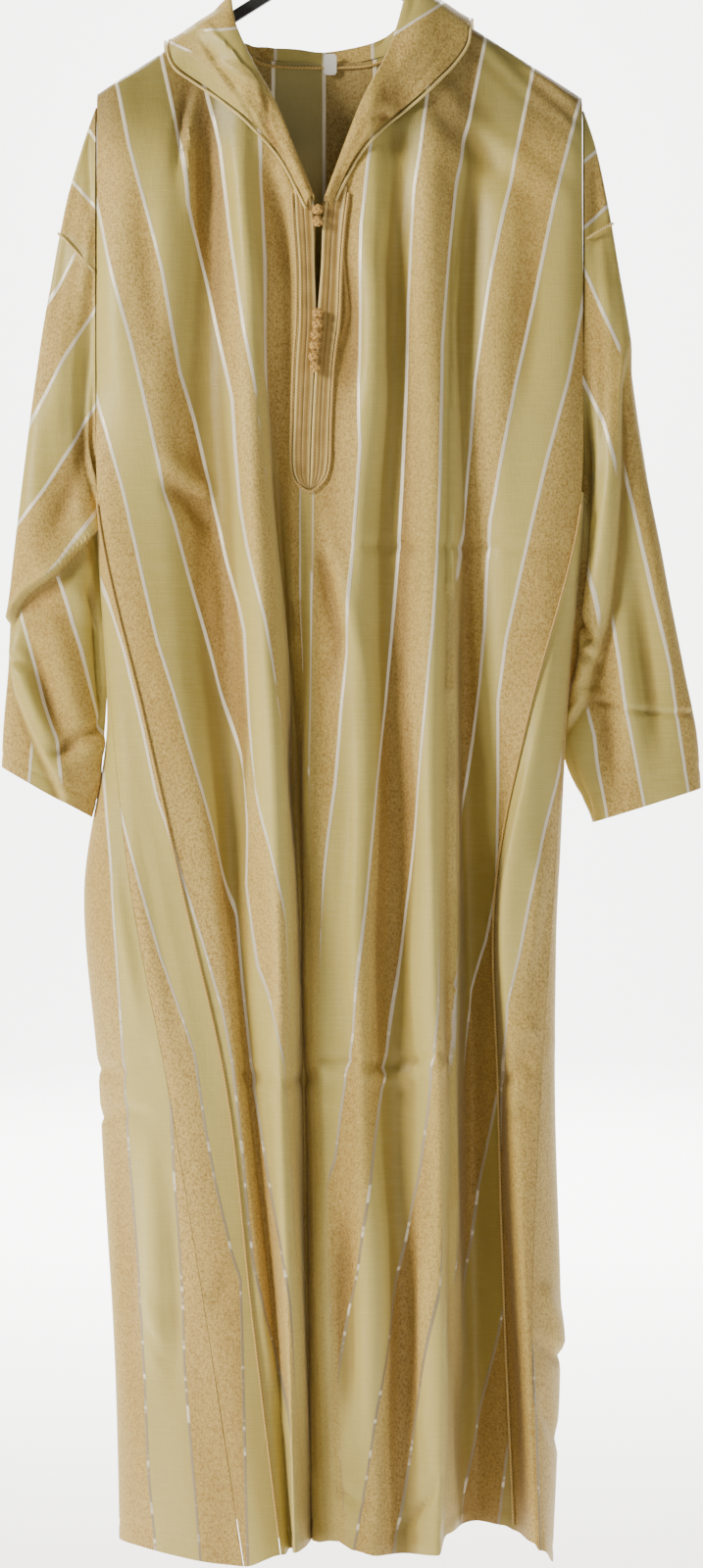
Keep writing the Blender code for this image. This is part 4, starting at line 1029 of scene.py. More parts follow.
def panelGrid(first, last, top=None, startZ=None):
    # columns follow the lines round the body and rows run down to the hem
    lowest = robe["lowerHemZ"]
    columns = []
    for span in range(first, last):
        width = max((bodyPoint(span + k / 4.0 + 0.25, z) - bodyPoint(span + k / 4.0, z)).length * 4.0
                    for k in range(4) for z in (-500.0, -900.0, -1400.0))
        parts = max(2, int(round(width / robe["columnStep"])))
        columns += [span + k / parts for k in range(parts)]
    columns.append(float(last))
    outer, onCrest = [], []
    for s in columns:
        if top:
            edge = -200.0
            for _ in range(6):
                edge = top(bodyPoint(s, edge).x)
            heights = [edge - drop for drop in (0.0, 1.0, 2.5, 5.0, 8.0)]
            below = heights[-1]
            heights += [below + (robe["shoulderFootZ"] - below) * k / 36.0 for k in range(1, 37)]
            common = robe["shoulderFootZ"]
        else:
            heights = [startZ]
            common = startZ
        rows = int((common - lowest) / robe["rowStep"])
        heights += [common + (lowest - common) * k / rows for k in range(1, rows + 1)]
        hem = hemZ(s)
        heights += [lowest + (hem - lowest) * k / 11.0 for k in range(1, 12)]
        column = []
        for z in heights:
            point = bodyPoint(s, z)
            if s in (first, last):
                seam = robe["seamGap"] * 0.75
                if startZ and z < robe["slitTopZ"]:
                    seam += robe["sideSlit"] * (robe["slitTopZ"] - z) / 220.0
                inward = (bodyPoint(s + (0.05 if s == first else -0.05), z) - point).normalized()
                point = point + inward * seam
            column.append(point)
        onCrest.append(bool(top) and crestZ(column[0].x) - heights[0] < robe["crestBand"])
        if onCrest[-1]:
            column[0].y = -0.15 if first < lineAt["backSeamRight"] else 0.15
        outer.append(column)
    grid = np.array([[tuple(p) for p in column] for column in outer]).transpose(1, 0, 2)
    return grid, np.array(columns), np.array(onCrest)


# where a silver stripe of the front runs out of sight in a fold
fadedSilver = ((464, 600), (461, 640), (460, 700), (461, 760), (460, 830), (458, 890))
pleat = {"below": 3.0, "depth": 0.3}
# the back's stripes, straight down from the shoulders, and the hood bag's
backStripes = {"first": -242.0, "end": 240.0, "apart": 46.0, "width": 22.0, "readAt": -420.0}
panel = {"seamCalm": 16.0, "topRow": 4.0, "unevenness": 1.1, "stitchUp": 15.0, "stitchWide": 2.2,
         "stitchDeep": -0.7, "hemThick": 0.3, "hemTop": 14.0, "flareTop": 70.0, "flareWave": 13.0,
         "narrowHollow": 7, "wideHollow": 15, "wideDepth": 26.0, "fadeOut": 13.0, "fadeIn": 8.0}


def openPleat(grid, columns):
    # the deep pleat beside the placket is kept shallow enough for light to reach its floor
    inside = np.where((columns > lineAt["bigRidgeEdge"]) & (columns < lineAt["placketLeft"]))[0]
    for k in inside:
        for row in range(grid.shape[0]):
            floor = linePoint(lineAt["placketLeft"], grid[row, k, 2]).y + pleat["below"]
            if grid[row, k, 1] > floor:
                grid[row, k, 1] = floor + (grid[row, k, 1] - floor) * pleat["depth"]


def straightStripes(x):
    places = np.arange(backStripes["first"], backStripes["end"], backStripes["apart"])
    return sum(np.clip((x - place) / backStripes["width"] + 0.5, 0.0, 1.0) for place in places)


def bodyPanel(node, stripes, first, last, folds, seed, top=None, startZ=None, bandFirst=0, skipSlit=False,
              waves=1.0, alongTop=False):
    grid, columns, onCrest = panelGrid(first, last, top, startZ)
    if node == "front":
        openPleat(grid, columns)
    px, py = photoPlace(grid)
    if alongTop:
        topX = np.array([bodyPoint(s, backStripes["readAt"]).x for s in columns])
        count = np.repeat(straightStripes(topX)[None, :], grid.shape[0], axis=0) + bandFirst
        plain = np.zeros(px.shape)
    else:
        count, plain = countStripes(px, py, stripes, bandFirst)
        if node == "front":
            away = awayFromLine(px, py, fadedSilver)[0]
            plain = np.maximum(plain, smoothStep(panel["fadeOut"], panel["fadeIn"], away))
    normal = gridNormals(grid)
    slope = np.where(grid[0, :, 0] > 0, robe["shoulderSlope"], -robe["shoulderSlope"])
    crest = np.stack([slope, np.zeros_like(slope), np.ones_like(slope)], axis=-1)
    crest /= np.linalg.norm(crest, axis=-1, keepdims=True)
    normal[0][onCrest] = crest[onCrest]
    rowsDown = np.arange(grid.shape[0])[:, None]
    along = np.linalg.norm(np.diff(grid, axis=1, prepend=grid[:, :1]), axis=-1).cumsum(axis=1)
    toSeam = np.minimum(along, along[:, -1:] - along)
    calm = smoothStep(0.0, panel["seamCalm"], toSeam)
    calm = calm * smoothStep(0.0, panel["seamCalm"], rowsDown * panel["topRow"])
    lift = foldHeights(px, py, folds) * calm * robe["foldGain"]
    lift += cushionNoise(along, grid[..., 2], seed) * panel["unevenness"] * waves * calm
    hemUp = grid[..., 2] - grid[-1, :, 2][None, :]
    stitch = panel["stitchDeep"] * np.exp(-((hemUp - panel["stitchUp"]) / panel["stitchWide"]) ** 2)
    stitch += panel["hemThick"] * smoothStep(panel["hemTop"], 4.0, hemUp)
    lift += stitch * smoothStep(0.0, 4.0, toSeam)
    flare = smoothStep(panel["flareTop"], 0.0, hemUp) * np.sin(along / panel["flareWave"] + seed) * calm
    outer = grid + normal * (lift + flare)[..., None]
    inner = outer - normal * robe["cloth"]
    # painted shade for the fold bottoms and painted highlight for the crests, carried to the cloth's colour
    paintedFoldShading = hollowOf(outer, normal, panel["narrowHollow"])
    paintedFoldShading += np.maximum(hollowOf(outer, normal, panel["wideHollow"], depth=panel["wideDepth"]), 0.0)
    if node in ("front", "gore_front_right"):
        paintedFoldShading += paintedShadesOf(px, py, frontPaintedShades)
    paintedFoldShading = np.clip(paintedFoldShading, -1.0, 1.0)
    skip = None
    if skipSlit:
        slit = (columns[:-1] >= lineAt["slitLeft"] - 1e-6) & (columns[1:] <= lineAt["slitRight"] + 1e-6)
        skip = slit[None, :] & (grid[:-1, :-1, 2] > robe["openSlitZ"] + 4.0)
    piece = wallPiece("dressed_" + node, outer, inner, stripedFabric, count, plain, skip=skip,
                      paintedFoldShading=paintedFoldShading)
    return dress(piece, node)


frontFirst, frontLast = lineAt["frontSeamLeft"], lineAt["frontSeamRight"]
sideRight, sideLeft = lineAt["sideSeamRight"], lineAt["sideSeamLeft"]
backFirst, backLast = lineAt["backSeamRight"], lineAt["backSeamLeft"]
front = bodyPanel("front", frontStripes, frontFirst, frontLast, frontFolds, 3, top=frontTop, skipSlit=True)
back = bodyPanel("back", None, backFirst, backLast, backFolds, 5, top=backTop, alongTop=True, bandFirst=1)
# gores: node, stripes, first and last line, seed and first band
for goreNode, goreStripes, goreFirst, goreLast, goreSeed, goreBand in (
        ("gore_front_right", goreFrontRightStripes, frontLast, sideRight, 7, 0),
        ("gore_back_right", goreBackRightStripes, sideRight, backFirst, 8, 0),
        ("gore_back_left", goreBackLeftStripes, backLast, sideLeft, 9, 1),
        ("gore_front_left", goreFrontLeftStripes, sideLeft, len(bodyLines), 10, 1)):
    bodyPanel(goreNode, goreStripes, goreFirst, goreLast, goreFolds, goreSeed, startZ=robe["armpitZ"],
              bandFirst=goreBand, waves=0.7)
frontSkin, backSkin = skinOf(front), skinOf(back)
print("body panels ready")

# sleeves: traced lines in the photograph, painted shade and highlight along their folds, and where the inner
# side reaches to the body
leftSleeve = {
    "paintedShades": ((0.9, 9, ((94, 545), (100, 600), (103, 680), (106, 760))),
               (0.8, 5, ((103, 200), (104, 300), (104, 400), (103, 520))),
               (0.6, 9, ((30, 620), (60, 600), (92, 552))),
               (-0.8, 9, ((20, 660), (34, 710), (52, 770)))),
    "reach": (-520.0, -900.0, 9.5),
    "shoulderStripes": (((50, 157), (76, 188), (96, 210), (140, 260)),
                        ((60, 95), (87, 130), (107, 155), (150, 208))),
    "armhole": ((40, 222), (59, 237), (76, 250), (98, 275), (106, 292)),
    "upperStripes": (((100, 215), (76, 259), (54, 300), (40, 326)),
                     ((118, 282), (102, 308), (67, 362), (33, 429), (20, 455)),
                     ((114, 385), (104, 402), (78, 447), (45, 498), (22, 530), (5, 553)),
                     ((114, 482), (96, 512), (60, 572), (33, 605), (-10, 645))),
    "elbow": ((110, 512), (96, 536), (60, 581), (30, 603), (18, 617), (4, 650)),
    "lowerStripes": (((12, 600), (22, 635), (31, 668), (45, 719), (57, 755), (60, 800), (62, 840)),
                     ((52, 565), (57, 587), (67, 620), (78, 662), (93, 737), (104, 800))),
    "backStripe": (((42, 690), (33, 743), (30, 785), (27, 830)),),
    "strip": ((4, 644), (15, 707), (30, 745), (48, 782), (61, 812)),
    "folds": (
        (3.5, 9, ((12, 655), (28, 700), (48, 750), (58, 790))),
        (-3.5, 8, ((24, 640), (40, 690), (56, 745))),
        (3.0, 12, ((50, 610), (62, 670), (76, 740), (82, 800))),
        (-6.0, 9, ((92, 540), (92, 600), (96, 670), (100, 760))),
        (-5.0, 6, ((100, 240), (102, 320), (102, 420), (102, 520))),
        (-2.4, 6, ((58, 768), (76, 752), (102, 736))),
        (2.0, 8, ((60, 785), (80, 772), (100, 752))),
        (2.2, 14, ((60, 280), (58, 380), (50, 480))),
        (-2.4, 13, ((84, 300), (82, 400), (74, 500))),
        (-2.2, 10, ((96, 420), (72, 500), (44, 560))),
        (-1.8, 5, ((8, 676), (16, 672), (26, 680))),
        (2.2, 14, ((74, 130), (66, 180), (60, 230))),
        (-3.0, 8, ((95, 120), (96, 180), (100, 240))),
    ),
}
rightSleeve = {
    "paintedShades": ((0.9, 7, ((598, 380), (600, 460), (597, 540), (592, 620), (588, 700))),
               (0.5, 6, ((640, 430), (640, 540), (632, 620))),
               (-0.8, 7, ((622, 300), (622, 400), (622, 520), (612, 640)))),
    "reach": (-300.0, -880.0, 9.0),
    "shoulderStripes": (((640, 130), (605, 157), (596, 164), (570, 190)),
                        ((660, 176), (620, 210), (597, 231), (570, 250))),
    "armhole": ((580, 252), (594, 247), (622, 229), (640, 214)),
    "outerStripes": (((575, 560), (597, 694), (610, 750), (618, 825), (624, 880)),
                     ((570, 300), (612, 540), (621, 603), (632, 675), (638, 722), (657, 822), (668, 880)),
                     ((585, 300), (628, 434), (650, 538), (666, 613), (682, 681), (691, 738), (702, 810),
                      (712, 870))),
    "upperStripe": ((560, 200), (599, 283), (615, 320), (631, 357), (650, 400), (690, 480)),
    "innerStripes": (((570, 480), (606, 575), (612, 605), (617, 650), (622, 700), (630, 780)),
                     ((572, 330), (597, 388), (616, 431), (625, 466), (632, 496), (650, 540))),
    "innerEnd": ((597, 552), (597, 568)),
    "fold": ((720, 330), (637, 350), (634, 396), (633, 488), (630, 546), (623, 619), (617, 651), (609, 692),
             (600, 718), (582, 748), (500, 765)),
    "folds": (
        (4.0, 8, ((620, 400), (622, 480), (618, 560), (608, 640), (598, 700))),
        (-8.0, 7, ((598, 390), (600, 470), (598, 560), (592, 640), (590, 720))),
        (3.5, 5, ((598, 640), (606, 660), (600, 690), (592, 712))),
        (-3.5, 4, ((592, 628), (602, 640), (606, 654))),
        (-3.0, 4, ((604, 668), (612, 676), (606, 700))),
        (2.2, 12, ((650, 480), (664, 560), (676, 640), (690, 740))),
        (-2.6, 12, ((640, 520), (650, 600), (662, 700), (676, 800))),
        (2.4, 12, ((632, 620), (640, 700), (650, 790))),
        (-2.6, 10, ((616, 700), (622, 760), (630, 820))),
        (-1.4, 3, ((612, 716), (640, 724), (670, 728), (708, 728))),
        (2.0, 14, ((610, 260), (628, 340), (640, 400))),
        (-2.4, 8, ((600, 150), (606, 200), (610, 250))),
        (-1.4, 3, ((584, 752), (592, 790), (604, 832))),
    ),
}


sleeveLook = {"around": 84, "perRing": 26, "backFolds": 0.6, "unevenness": 0.9, "edge": 6.0, "calm": 0.9,
              "flatness": 0.75, "reachPower": 1.5, "reachFade": 60.0, "hemSeam": (0.45, 0.06, -0.6),
              "paintedFoldShading": 5, "hollowDepth": 4.0, "foldFoot": 765.0, "foldTop": 350.0}
# Cloth lying over cloth: half the pixels of its edge, its rise and the fall beside it, and
# over how many pixels each fades away.
elbowStep = {"half": 4.5, "rise": 7.0, "riseFade": 26.0, "fall": 5.0, "fallFade": 34.0}
stripStep = {"half": 4.5, "rise": 5.5, "riseFade": 14.0, "fall": 5.0, "fallFade": 22.0}
foldStep = {"half": 4.0, "rise": 7.0, "riseFade": 14.0, "fall": 6.0, "fallFade": 18.0}


def sleevePoint(rings, k, turn):
    outer = curveThrough([Vector((row[0], 0.0, row[1])) for row in rings], k)
    inner = curveThrough([Vector((row[2], 0.0, row[3])) for row in rings], k)
    depth = curveThrough([Vector((row[4], row[5], 0.0)) for row in rings], k)
    swing = sin(turn)
    point = (outer + inner) / 2.0 + (outer - inner) / 2.0 * cos(turn)
    point.y = (-depth.x if swing > 0 else depth.y) * abs(swing) ** sleeveLook["flatness"]
    return point


def sleeveNormal(rings, k, turn):
    along = sleevePoint(rings, min(k + 0.02, len(rings) - 1.0001), turn)
    along -= sleevePoint(rings, max(k - 0.02, 0.0), turn)
    around = sleevePoint(rings, k, turn + 0.05) - sleevePoint(rings, k, turn - 0.05)
    out = along.cross(around).normalized()
    middle = (sleevePoint(rings, k, 0.0) + sleevePoint(rings, k, pi)) / 2.0
    return out if out.dot(sleevePoint(rings, k, turn) - middle) > 0 else -out


def heightOn(line, px):
    ordered = sorted(line)
    return np.interp(px, [p[0] for p in ordered], [p[1] for p in ordered])


def placeOn(line, py):
    ordered = sorted(line, key=lambda p: p[1])
    return np.interp(py, [p[1] for p in ordered], [p[0] for p in ordered])


def nearLine(line, px, py, far=7.0, near=4.0):
    return smoothStep(far, near, awayFromLine(px, py, line)[0])


def leftSleeveStripes(px, py, front):
    tops, topPlain = countStripes(px, py, leftSleeve["shoulderStripes"])
    upper, upperPlain = countStripes(px, py, leftSleeve["upperStripes"])
    lower, lowerPlain = countStripes(px, py, leftSleeve["lowerStripes"], 4)
    behind = countStripes(px, py, leftSleeve["backStripe"], 5)[0]
    aboveHole = py < heightOn(leftSleeve["armhole"], px)
    belowElbow = py > heightOn(leftSleeve["elbow"], px)
    left = px < placeOn(leftSleeve["strip"], py)
    count = np.where(aboveHole, 3.0 - tops, upper)
    count = np.where(belowElbow, lower, count)
    count = np.where(belowElbow & (left & front | ~front), behind, count)
    plain = np.where(aboveHole, topPlain, np.where(belowElbow, lowerPlain, upperPlain))
    plain = np.maximum(plain, nearLine(leftSleeve["armhole"], px, py))
    plain = np.maximum(plain, nearLine(leftSleeve["elbow"], px, py) * front)
    return count, np.maximum(plain, nearLine(leftSleeve["strip"], px, py) * front)


def rightSleeveStripes(px, py, front):
    tops, topPlain = countStripes(px, py, rightSleeve["shoulderStripes"])
    outer, outerPlain = countStripes(px, py, rightSleeve["outerStripes"])
    upper = countStripes(px, py, (rightSleeve["upperStripe"],))[0]
    inner, innerPlain = countStripes(px, py, rightSleeve["innerStripes"], 1)
    aboveHole = py < heightOn(rightSleeve["armhole"], px)
    leftOfFold = (px < placeOn(rightSleeve["fold"], py)) & (py < sleeveLook["foldFoot"])
    count = np.where(leftOfFold & (front | (py < sleeveLook["foldTop"])), inner + upper, outer)
    count = np.where(aboveHole, tops + 2.0, count)
    plain = np.where(aboveHole, topPlain, np.where(leftOfFold, innerPlain, outerPlain))
    for key in ("armhole", "innerEnd"):
        plain = np.maximum(plain, nearLine(rightSleeve[key], px, py))
    return count, np.maximum(plain, nearLine(rightSleeve["fold"], px, py) * front)


def stepLift(beyond, step):
    # rises to the edge from where beyond is above nought, and falls away on the other side
    over = smoothStep(-step["half"], step["half"], beyond)
    lift = step["rise"] * np.exp(-np.maximum(beyond, 0.0) / step["riseFade"]) * over
    return lift - step["fall"] * np.exp(np.minimum(beyond, 0.0) / step["fallFade"]) * (1.0 - over)


def sleevePiece(node, rings, look, stripesOf, seed):
    around, perRing = sleeveLook["around"], sleeveLook["perRing"]
    rows = (len(rings) - 1) * perRing
    grid = np.array([[tuple(sleevePoint(rings, j / perRing, 2.0 * pi * a / around)) for a in range(around)]
                     for j in range(rows + 1)])
    normal = gridNormals(grid, closed=True)
    middle = grid.mean(axis=1, keepdims=True)
    if np.sum(normal * (grid - middle)) < 0.0:
        normal = -normal
    px, py = photoPlace(grid)
    front = grid[..., 1] < 0.0
    count, plain = stripesOf(px, py, front)
    rowsDown = np.arange(rows + 1)[:, None] / float(perRing)
    edge = smoothStep(0.0, sleeveLook["edge"], np.abs(grid[..., 1]))
    lift = foldHeights(px, py, look["folds"]) * edge * robe["sleeveGain"]
    lift = lift * np.where(front, 1.0, sleeveLook["backFolds"])
    onFront = edge * front
    if "elbow" in look:
        lift += stepLift(heightOn(look["elbow"], px) - py, elbowStep) * onFront
        lift += stepLift(px - placeOn(look["strip"], py), stripStep) * onFront * smoothStep(640, 690, py)
    else:
        tall = smoothStep(345, 400, py) * (1.0 - smoothStep(715, sleeveLook["foldFoot"], py))
        lift += stepLift(placeOn(look["fold"], py) - px, foldStep) * onFront * tall
    turnAlong = np.linalg.norm(np.diff(grid, axis=1, prepend=grid[:, :1]), axis=-1).cumsum(axis=1)
    lift += cushionNoise(turnAlong, grid[..., 2], seed) * sleeveLook["unevenness"] * edge
    lift *= smoothStep(0.0, sleeveLook["calm"], rowsDown)
    hemUp = (rows - np.arange(rows + 1))[:, None] / float(perRing)
    seamUp, seamWide, seamDeep = sleeveLook["hemSeam"]
    lift += seamDeep * np.exp(-((hemUp - seamUp) / seamWide) ** 2)
    outer = grid + normal * lift[..., None]
    # the side next to the body reaches over to it, so no light shows between them
    turn = 2.0 * pi * np.arange(around)[None, :] / around
    facing = np.clip(-np.cos(turn), 0.0, 1.0) ** sleeveLook["reachPower"]
    toBody = -1.0 if "fold" in look else 1.0
    reachTop, reachFoot, reach = look["reach"]
    tall = smoothStep(reachTop, reachTop - sleeveLook["reachFade"], grid[..., 2])
    tall *= smoothStep(reachFoot, reachFoot + sleeveLook["reachFade"], grid[..., 2])
    outer[..., 0] += toBody * reach * facing * tall
    inner = outer - normal * robe["cloth"]
    # painted shade for the fold bottoms and painted highlight for the crests, carried to the cloth's colour
    paintedFoldShading = hollowOf(outer, normal, sleeveLook["paintedFoldShading"], closed=True, depth=sleeveLook["hollowDepth"])
    paintedFoldShading += paintedShadesOf(px, py, look["paintedShades"]) * front
    piece = wallPiece("dressed_" + node, outer, inner, stripedFabric, count, plain, closed=True,
                      paintedFoldShading=np.clip(paintedFoldShading, -1.0, 1.0))
    return dress(piece, node)


sleevePiece("sleeve_left", leftSleeveRings, leftSleeve, leftSleeveStripes, 21)
sleevePiece("sleeve_right", rightSleeveRings, rightSleeve, rightSleeveStripes, 22)
print("sleeves ready")

# hood and its trim
hoodLook = {"liftFade": 70.0, "crestRound": 22.0, "along": 170, "over": 40, "stripeWidth": 20.0,
            "trimRadius": 1.3, "trimOff": 1.7, "trimStep": 2.5}
# waves of the hood's bag, the gathers behind the neck, and where the front's silver fades
hoodWaves = ((1.6, 95.0, 3.0, 0.0), (2.2, 41.0, 0.0, 1.0))
hoodGather = {"x": -72.0, "width": 14.0, "height": 2.2, "turns": 1.5}
hoodFaded = ((10.0, 6.0, ((200, 56), (222, 65), (256, 80), (280, 92))),
             (12.0, 8.0, ((166, -10), (202, 40), (236, 96), (262, 140))))
hoodFolds = (
    (2.6, 7, ((262, 84), (236, 50), (219, 31)), "step"),
    (2.8, 7, ((246, 104), (222, 70), (202, 40)), "step"),
    (-2.0, 4, ((210, 50), (228, 74), (246, 98))),
    (2.5, 5, ((225, 66), (240, 72), (256, 82))),
    (3.0, 6, ((243, 96), (252, 112), (262, 122))),
    (-3.0, 3, ((249, 106), (256, 116), (262, 128))),
    (1.8, 2.5, ((262, 86), (266, 104), (263, 120))),
    (-1.8, 2.5, ((267, 92), (272, 110), (275, 124))),
    (1.6, 2.5, ((274, 118), (284, 140), (294, 156))),
    (-1.6, 2.5, ((268, 124), (280, 142), (292, 162))),
    (2.0, 5, ((300, 166), (308, 184), (316, 204))),
    (-1.2, 2.0, ((466, 32), (446, 56), (430, 80), (414, 98))),
    (3.0, 5, ((392, 108), (398, 114), (404, 122))),
    (-2.8, 3, ((384, 118), (394, 120), (402, 126))),
    (-2.0, 3.5, ((391, 92), (393, 108), (391, 130))),
    (1.8, 4, ((378, 130), (366, 152), (352, 176))),
    (-1.5, 3, ((386, 126), (372, 150), (356, 178))),
    (2.0, 12, ((430, 20), (418, 52), (404, 86))),
)


def hoodStationPoints():
    stations = []
    for right in (False, True):
        half = []
        for kind, across in hoodStations:
            points = []
            for x, z, off in across:
                placeX = robe["neckX"] + (-x if right else x)
                leftCrest = crestZ(robe["neckX"] + x)
                fade = max(0.0, 1.0 - max(0.0, leftCrest - z) / hoodLook["liftFade"])
                lift = (crestZ(placeX) - leftCrest) * fade
                height = crestZ(placeX) if kind == "crest" else z + lift
                points.append(Vector((placeX, height, off)))
            half.append(points)
        stations += half[:-1][::-1] if right else half
    return stations


def hoodPoint(stations, a, b):
    x, z, off = curveThrough([curveThrough([station[k] for station in stations], a) for k in range(5)], b)
    last = len(stations) - 1
    crestAt = [row[0] for row in hoodStations].index("crest")
    side = -1.0 if a < crestAt or a > last - crestAt else 1.0
    top = frontTop(x) if side < 0 else backTop(x)
    y = frontY(cadFrontSkin, x, z) if side < 0 else backY(cadBackSkin, x, z)
    crest = crestZ(x)
    if crest - z < robe["crestBand"]:
        y = 0.0
    upward = max(0.0, 1.0 - max(0.0, crest - z) / hoodLook["crestRound"])
    return Vector((x, y + side * sqrt(1.0 - upward * upward) * off,
                   min(z, top) + max(0.0, z - top) + upward * off))


def hoodStripes(px, py, grid):
    def beyond(a, b):
        dx, dy = b[0] - a[0], b[1] - a[1]
        off = ((py - a[1]) * dx - (px - a[0]) * dy) / sqrt(dx * dx + dy * dy)
        return np.clip(off / hoodLook["stripeWidth"] + 0.5, 0.0, 1.0)

    left = beyond((215, 31), (241, 29)) + beyond((222, 65), (256, 80)) + beyond((202, 40), (236, 96))
    right = 2.0 + beyond((421, 23), (438, 12))
    count = np.where(grid[..., 0] < robe["neckX"], left + 1.0, right)
    return np.where(grid[..., 1] > 6.0, straightStripes(grid[..., 0]) + 1.0, count)


cadFrontSkin = skinOf(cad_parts["front"])
cadBackSkin = skinOf(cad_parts["back"])
stations = hoodStationPoints()
hoodGrid = np.array([[tuple(hoodPoint(stations, (len(stations) - 1) * i / hoodLook["along"],
                                      4.0 * j / hoodLook["over"]))
                      for i in range(hoodLook["along"] + 1)] for j in range(hoodLook["over"] + 1)])
hoodNormal = np.cross(np.gradient(hoodGrid, axis=1), np.gradient(hoodGrid, axis=0))
hoodNormal /= np.maximum(np.linalg.norm(hoodNormal, axis=-1, keepdims=True), 1e-9)
px, py = photoPlace(hoodGrid)
inFront = smoothStep(6.0, -2.0, hoodGrid[..., 1])
overPart = np.linspace(0.0, 1.0, hoodLook["over"] + 1)[:, None]
hoodLift = foldHeights(px, py, hoodFolds) * inFront * smoothStep(1.0, 0.9, overPart)
alongHood = np.linspace(0.0, 1.0, hoodLook["along"] + 1)[None, :]
for size, turns, lean, start in hoodWaves:
    wave = size * np.sin(alongHood * turns + lean * overPart + start) * np.sin(overPart * pi)
    hoodLift += (1.0 - inFront) * wave
gather = np.exp(-((hoodGrid[..., 0] - hoodGather["x"]) / hoodGather["width"]) ** 2)
gather = gather * (hoodGrid[..., 1] > 4.0) * smoothStep(0.5, 0.1, overPart)
hoodLift += gather * hoodGather["height"] * np.sin(hoodGrid[..., 0] * hoodGather["turns"])
hoodMiddle = hoodGrid + hoodNormal * hoodLift[..., None]
hoodPlain = np.maximum(*[nearLine(line, px, py, far, near) for far, near, line in hoodFaded])
hoodPlain *= (hoodGrid[..., 0] < robe["neckX"]) * inFront
hood = wallPiece("dressed_hood", hoodMiddle + hoodNormal * robe["cloth"] / 2.0,
                 hoodMiddle - hoodNormal * robe["cloth"] / 2.0, hoodFabric,
                 hoodStripes(px, py, hoodGrid), hoodPlain,
                 paintedFoldShading=hollowOf(hoodMiddle, hoodNormal, 5, depth=3.0))
dress(hood, "hood")

outward = hoodGrid[-1] - hoodGrid[-2]
outward /= np.linalg.norm(outward, axis=-1, keepdims=True)
trimPath = hoodGrid[-1] + outward * (hoodLook["trimRadius"] + 0.3 + hoodLook["trimOff"])
trimPath = finerPath(trimPath[::4], hoodLook["trimStep"])
hoodTrim = cordPiece("dressed_hood_trim", trimPath, hoodLook["trimRadius"] + 0.15, paleCord, 0.08, 2.6)
dress(hoodTrim, "hood_trim")
print("hood ready")

# placket bands, cords and knots
placket = {"top": -291.0, "bottom": -573.0, "thick": 1.6, "gap": 0.5, "across": 26, "rowStep": 1.5,
           "ropes": 4, "pitch": 3.6, "flat": 0.5, "swell": 0.42, "twist": 0.12, "edge": 0.4,
           "slantTop": 15.0, "cordRadius": 1.3, "cordOff": 0.6}


def placketEdges(z):
    places = [row[0] for row in placketRows]
    return [smoothAlong(places, [row[k] for row in placketRows], z) for k in (1, 2, 3, 4)]


def braidBand(node, left):
    # rows of braid side by side, thin at both edges and raised between them
    top, bottom = placket["top"], placket["bottom"]
    rows = int((top - bottom) / placket["rowStep"])
    outer, inner, across = [], [], []
    for j in range(rows + 1):
        z = top + (bottom - top) * j / rows
        edges = placketEdges(z)
        first, second = edges[0:2] if left else edges[2:4]
        outerRow, innerRow, acrossRow = [], [], []
        for i in range(placket["across"] + 1):
            part = i / placket["across"]
            x = first + (second - first) * part
            towardSlit = part if left else 1.0 - part
            height = z - placket["slantTop"] * towardSlit * exp((z + 286.0) / 12.0)
            y = frontY(cadFrontSkin, x, height)
            rope = towardSlit * placket["ropes"]
            phase = rope - int(min(rope, placket["ropes"] - 1e-6))
            swell = sqrt(max(0.0, 1.0 - (2.0 * phase - 1.0) ** 2))
            slant = sin(2.0 * pi * (z / placket["pitch"] + (phase if int(rope) % 2 else -phase)))
            raised = placket["flat"] + placket["swell"] * swell + placket["twist"] * swell * slant
            raised = placket["thick"] * (placket["edge"] if i in (0, placket["across"]) else raised)
            outerRow.append((x, y - placket["gap"] - raised, height))
            innerRow.append((x, y - placket["gap"], height))
            acrossRow.append(rope / placket["ropes"])
        outer.append(outerRow)
        inner.append(innerRow)
        across.append(acrossRow)
    piece = wallPiece("dressed_" + node, np.array(outer), np.array(inner), sewnBraid, np.array(across),
                      np.zeros((rows + 1, placket["across"] + 1)))
    return dress(piece, node)


bandLeft = braidBand("placket_left", True)
bandRight = braidBand("placket_right", False)

heights = [-298 - 18.0 * k for k in range(14)] + [-546, -557, -565, -570]
outline = [Vector((placketEdges(z)[0], 0.0, z)) for z in heights] + [Vector((-25.0, 0.0, -574.6))]
outline += [Vector((placketEdges(z)[3], 0.0, z)) for z in reversed(heights)]
outline = finerPath(outline, 3.0)
cordPath = []
for k, edge in enumerate(outline):
    along = outline[min(len(outline) - 1, k + 1)] - outline[max(0, k - 1)]
    away = Vector((along.z, 0.0, -along.x)).normalized()
    spot = edge + away * (placket["cordRadius"] + placket["cordOff"])
    spot.y = frontY(cadFrontSkin, spot.x, spot.z) - placket["cordRadius"] - placket["cordOff"]
    cordPath.append(spot)
placketCord = cordPiece("dressed_placket_cord", cordPath, placket["cordRadius"] + 0.1, goldCord, 0.08, 3.0)
dress(placketCord, "placket_cord")

knots = {"radius": 4.9, "sink": 1.9, "cord": 1.35, "leads": 3, "bights": 4, "steps": 150, "sides": 7,
         "rise": 1.05, "weave": 0.45, "tilt": 0.35, "uvStep": 0.011}


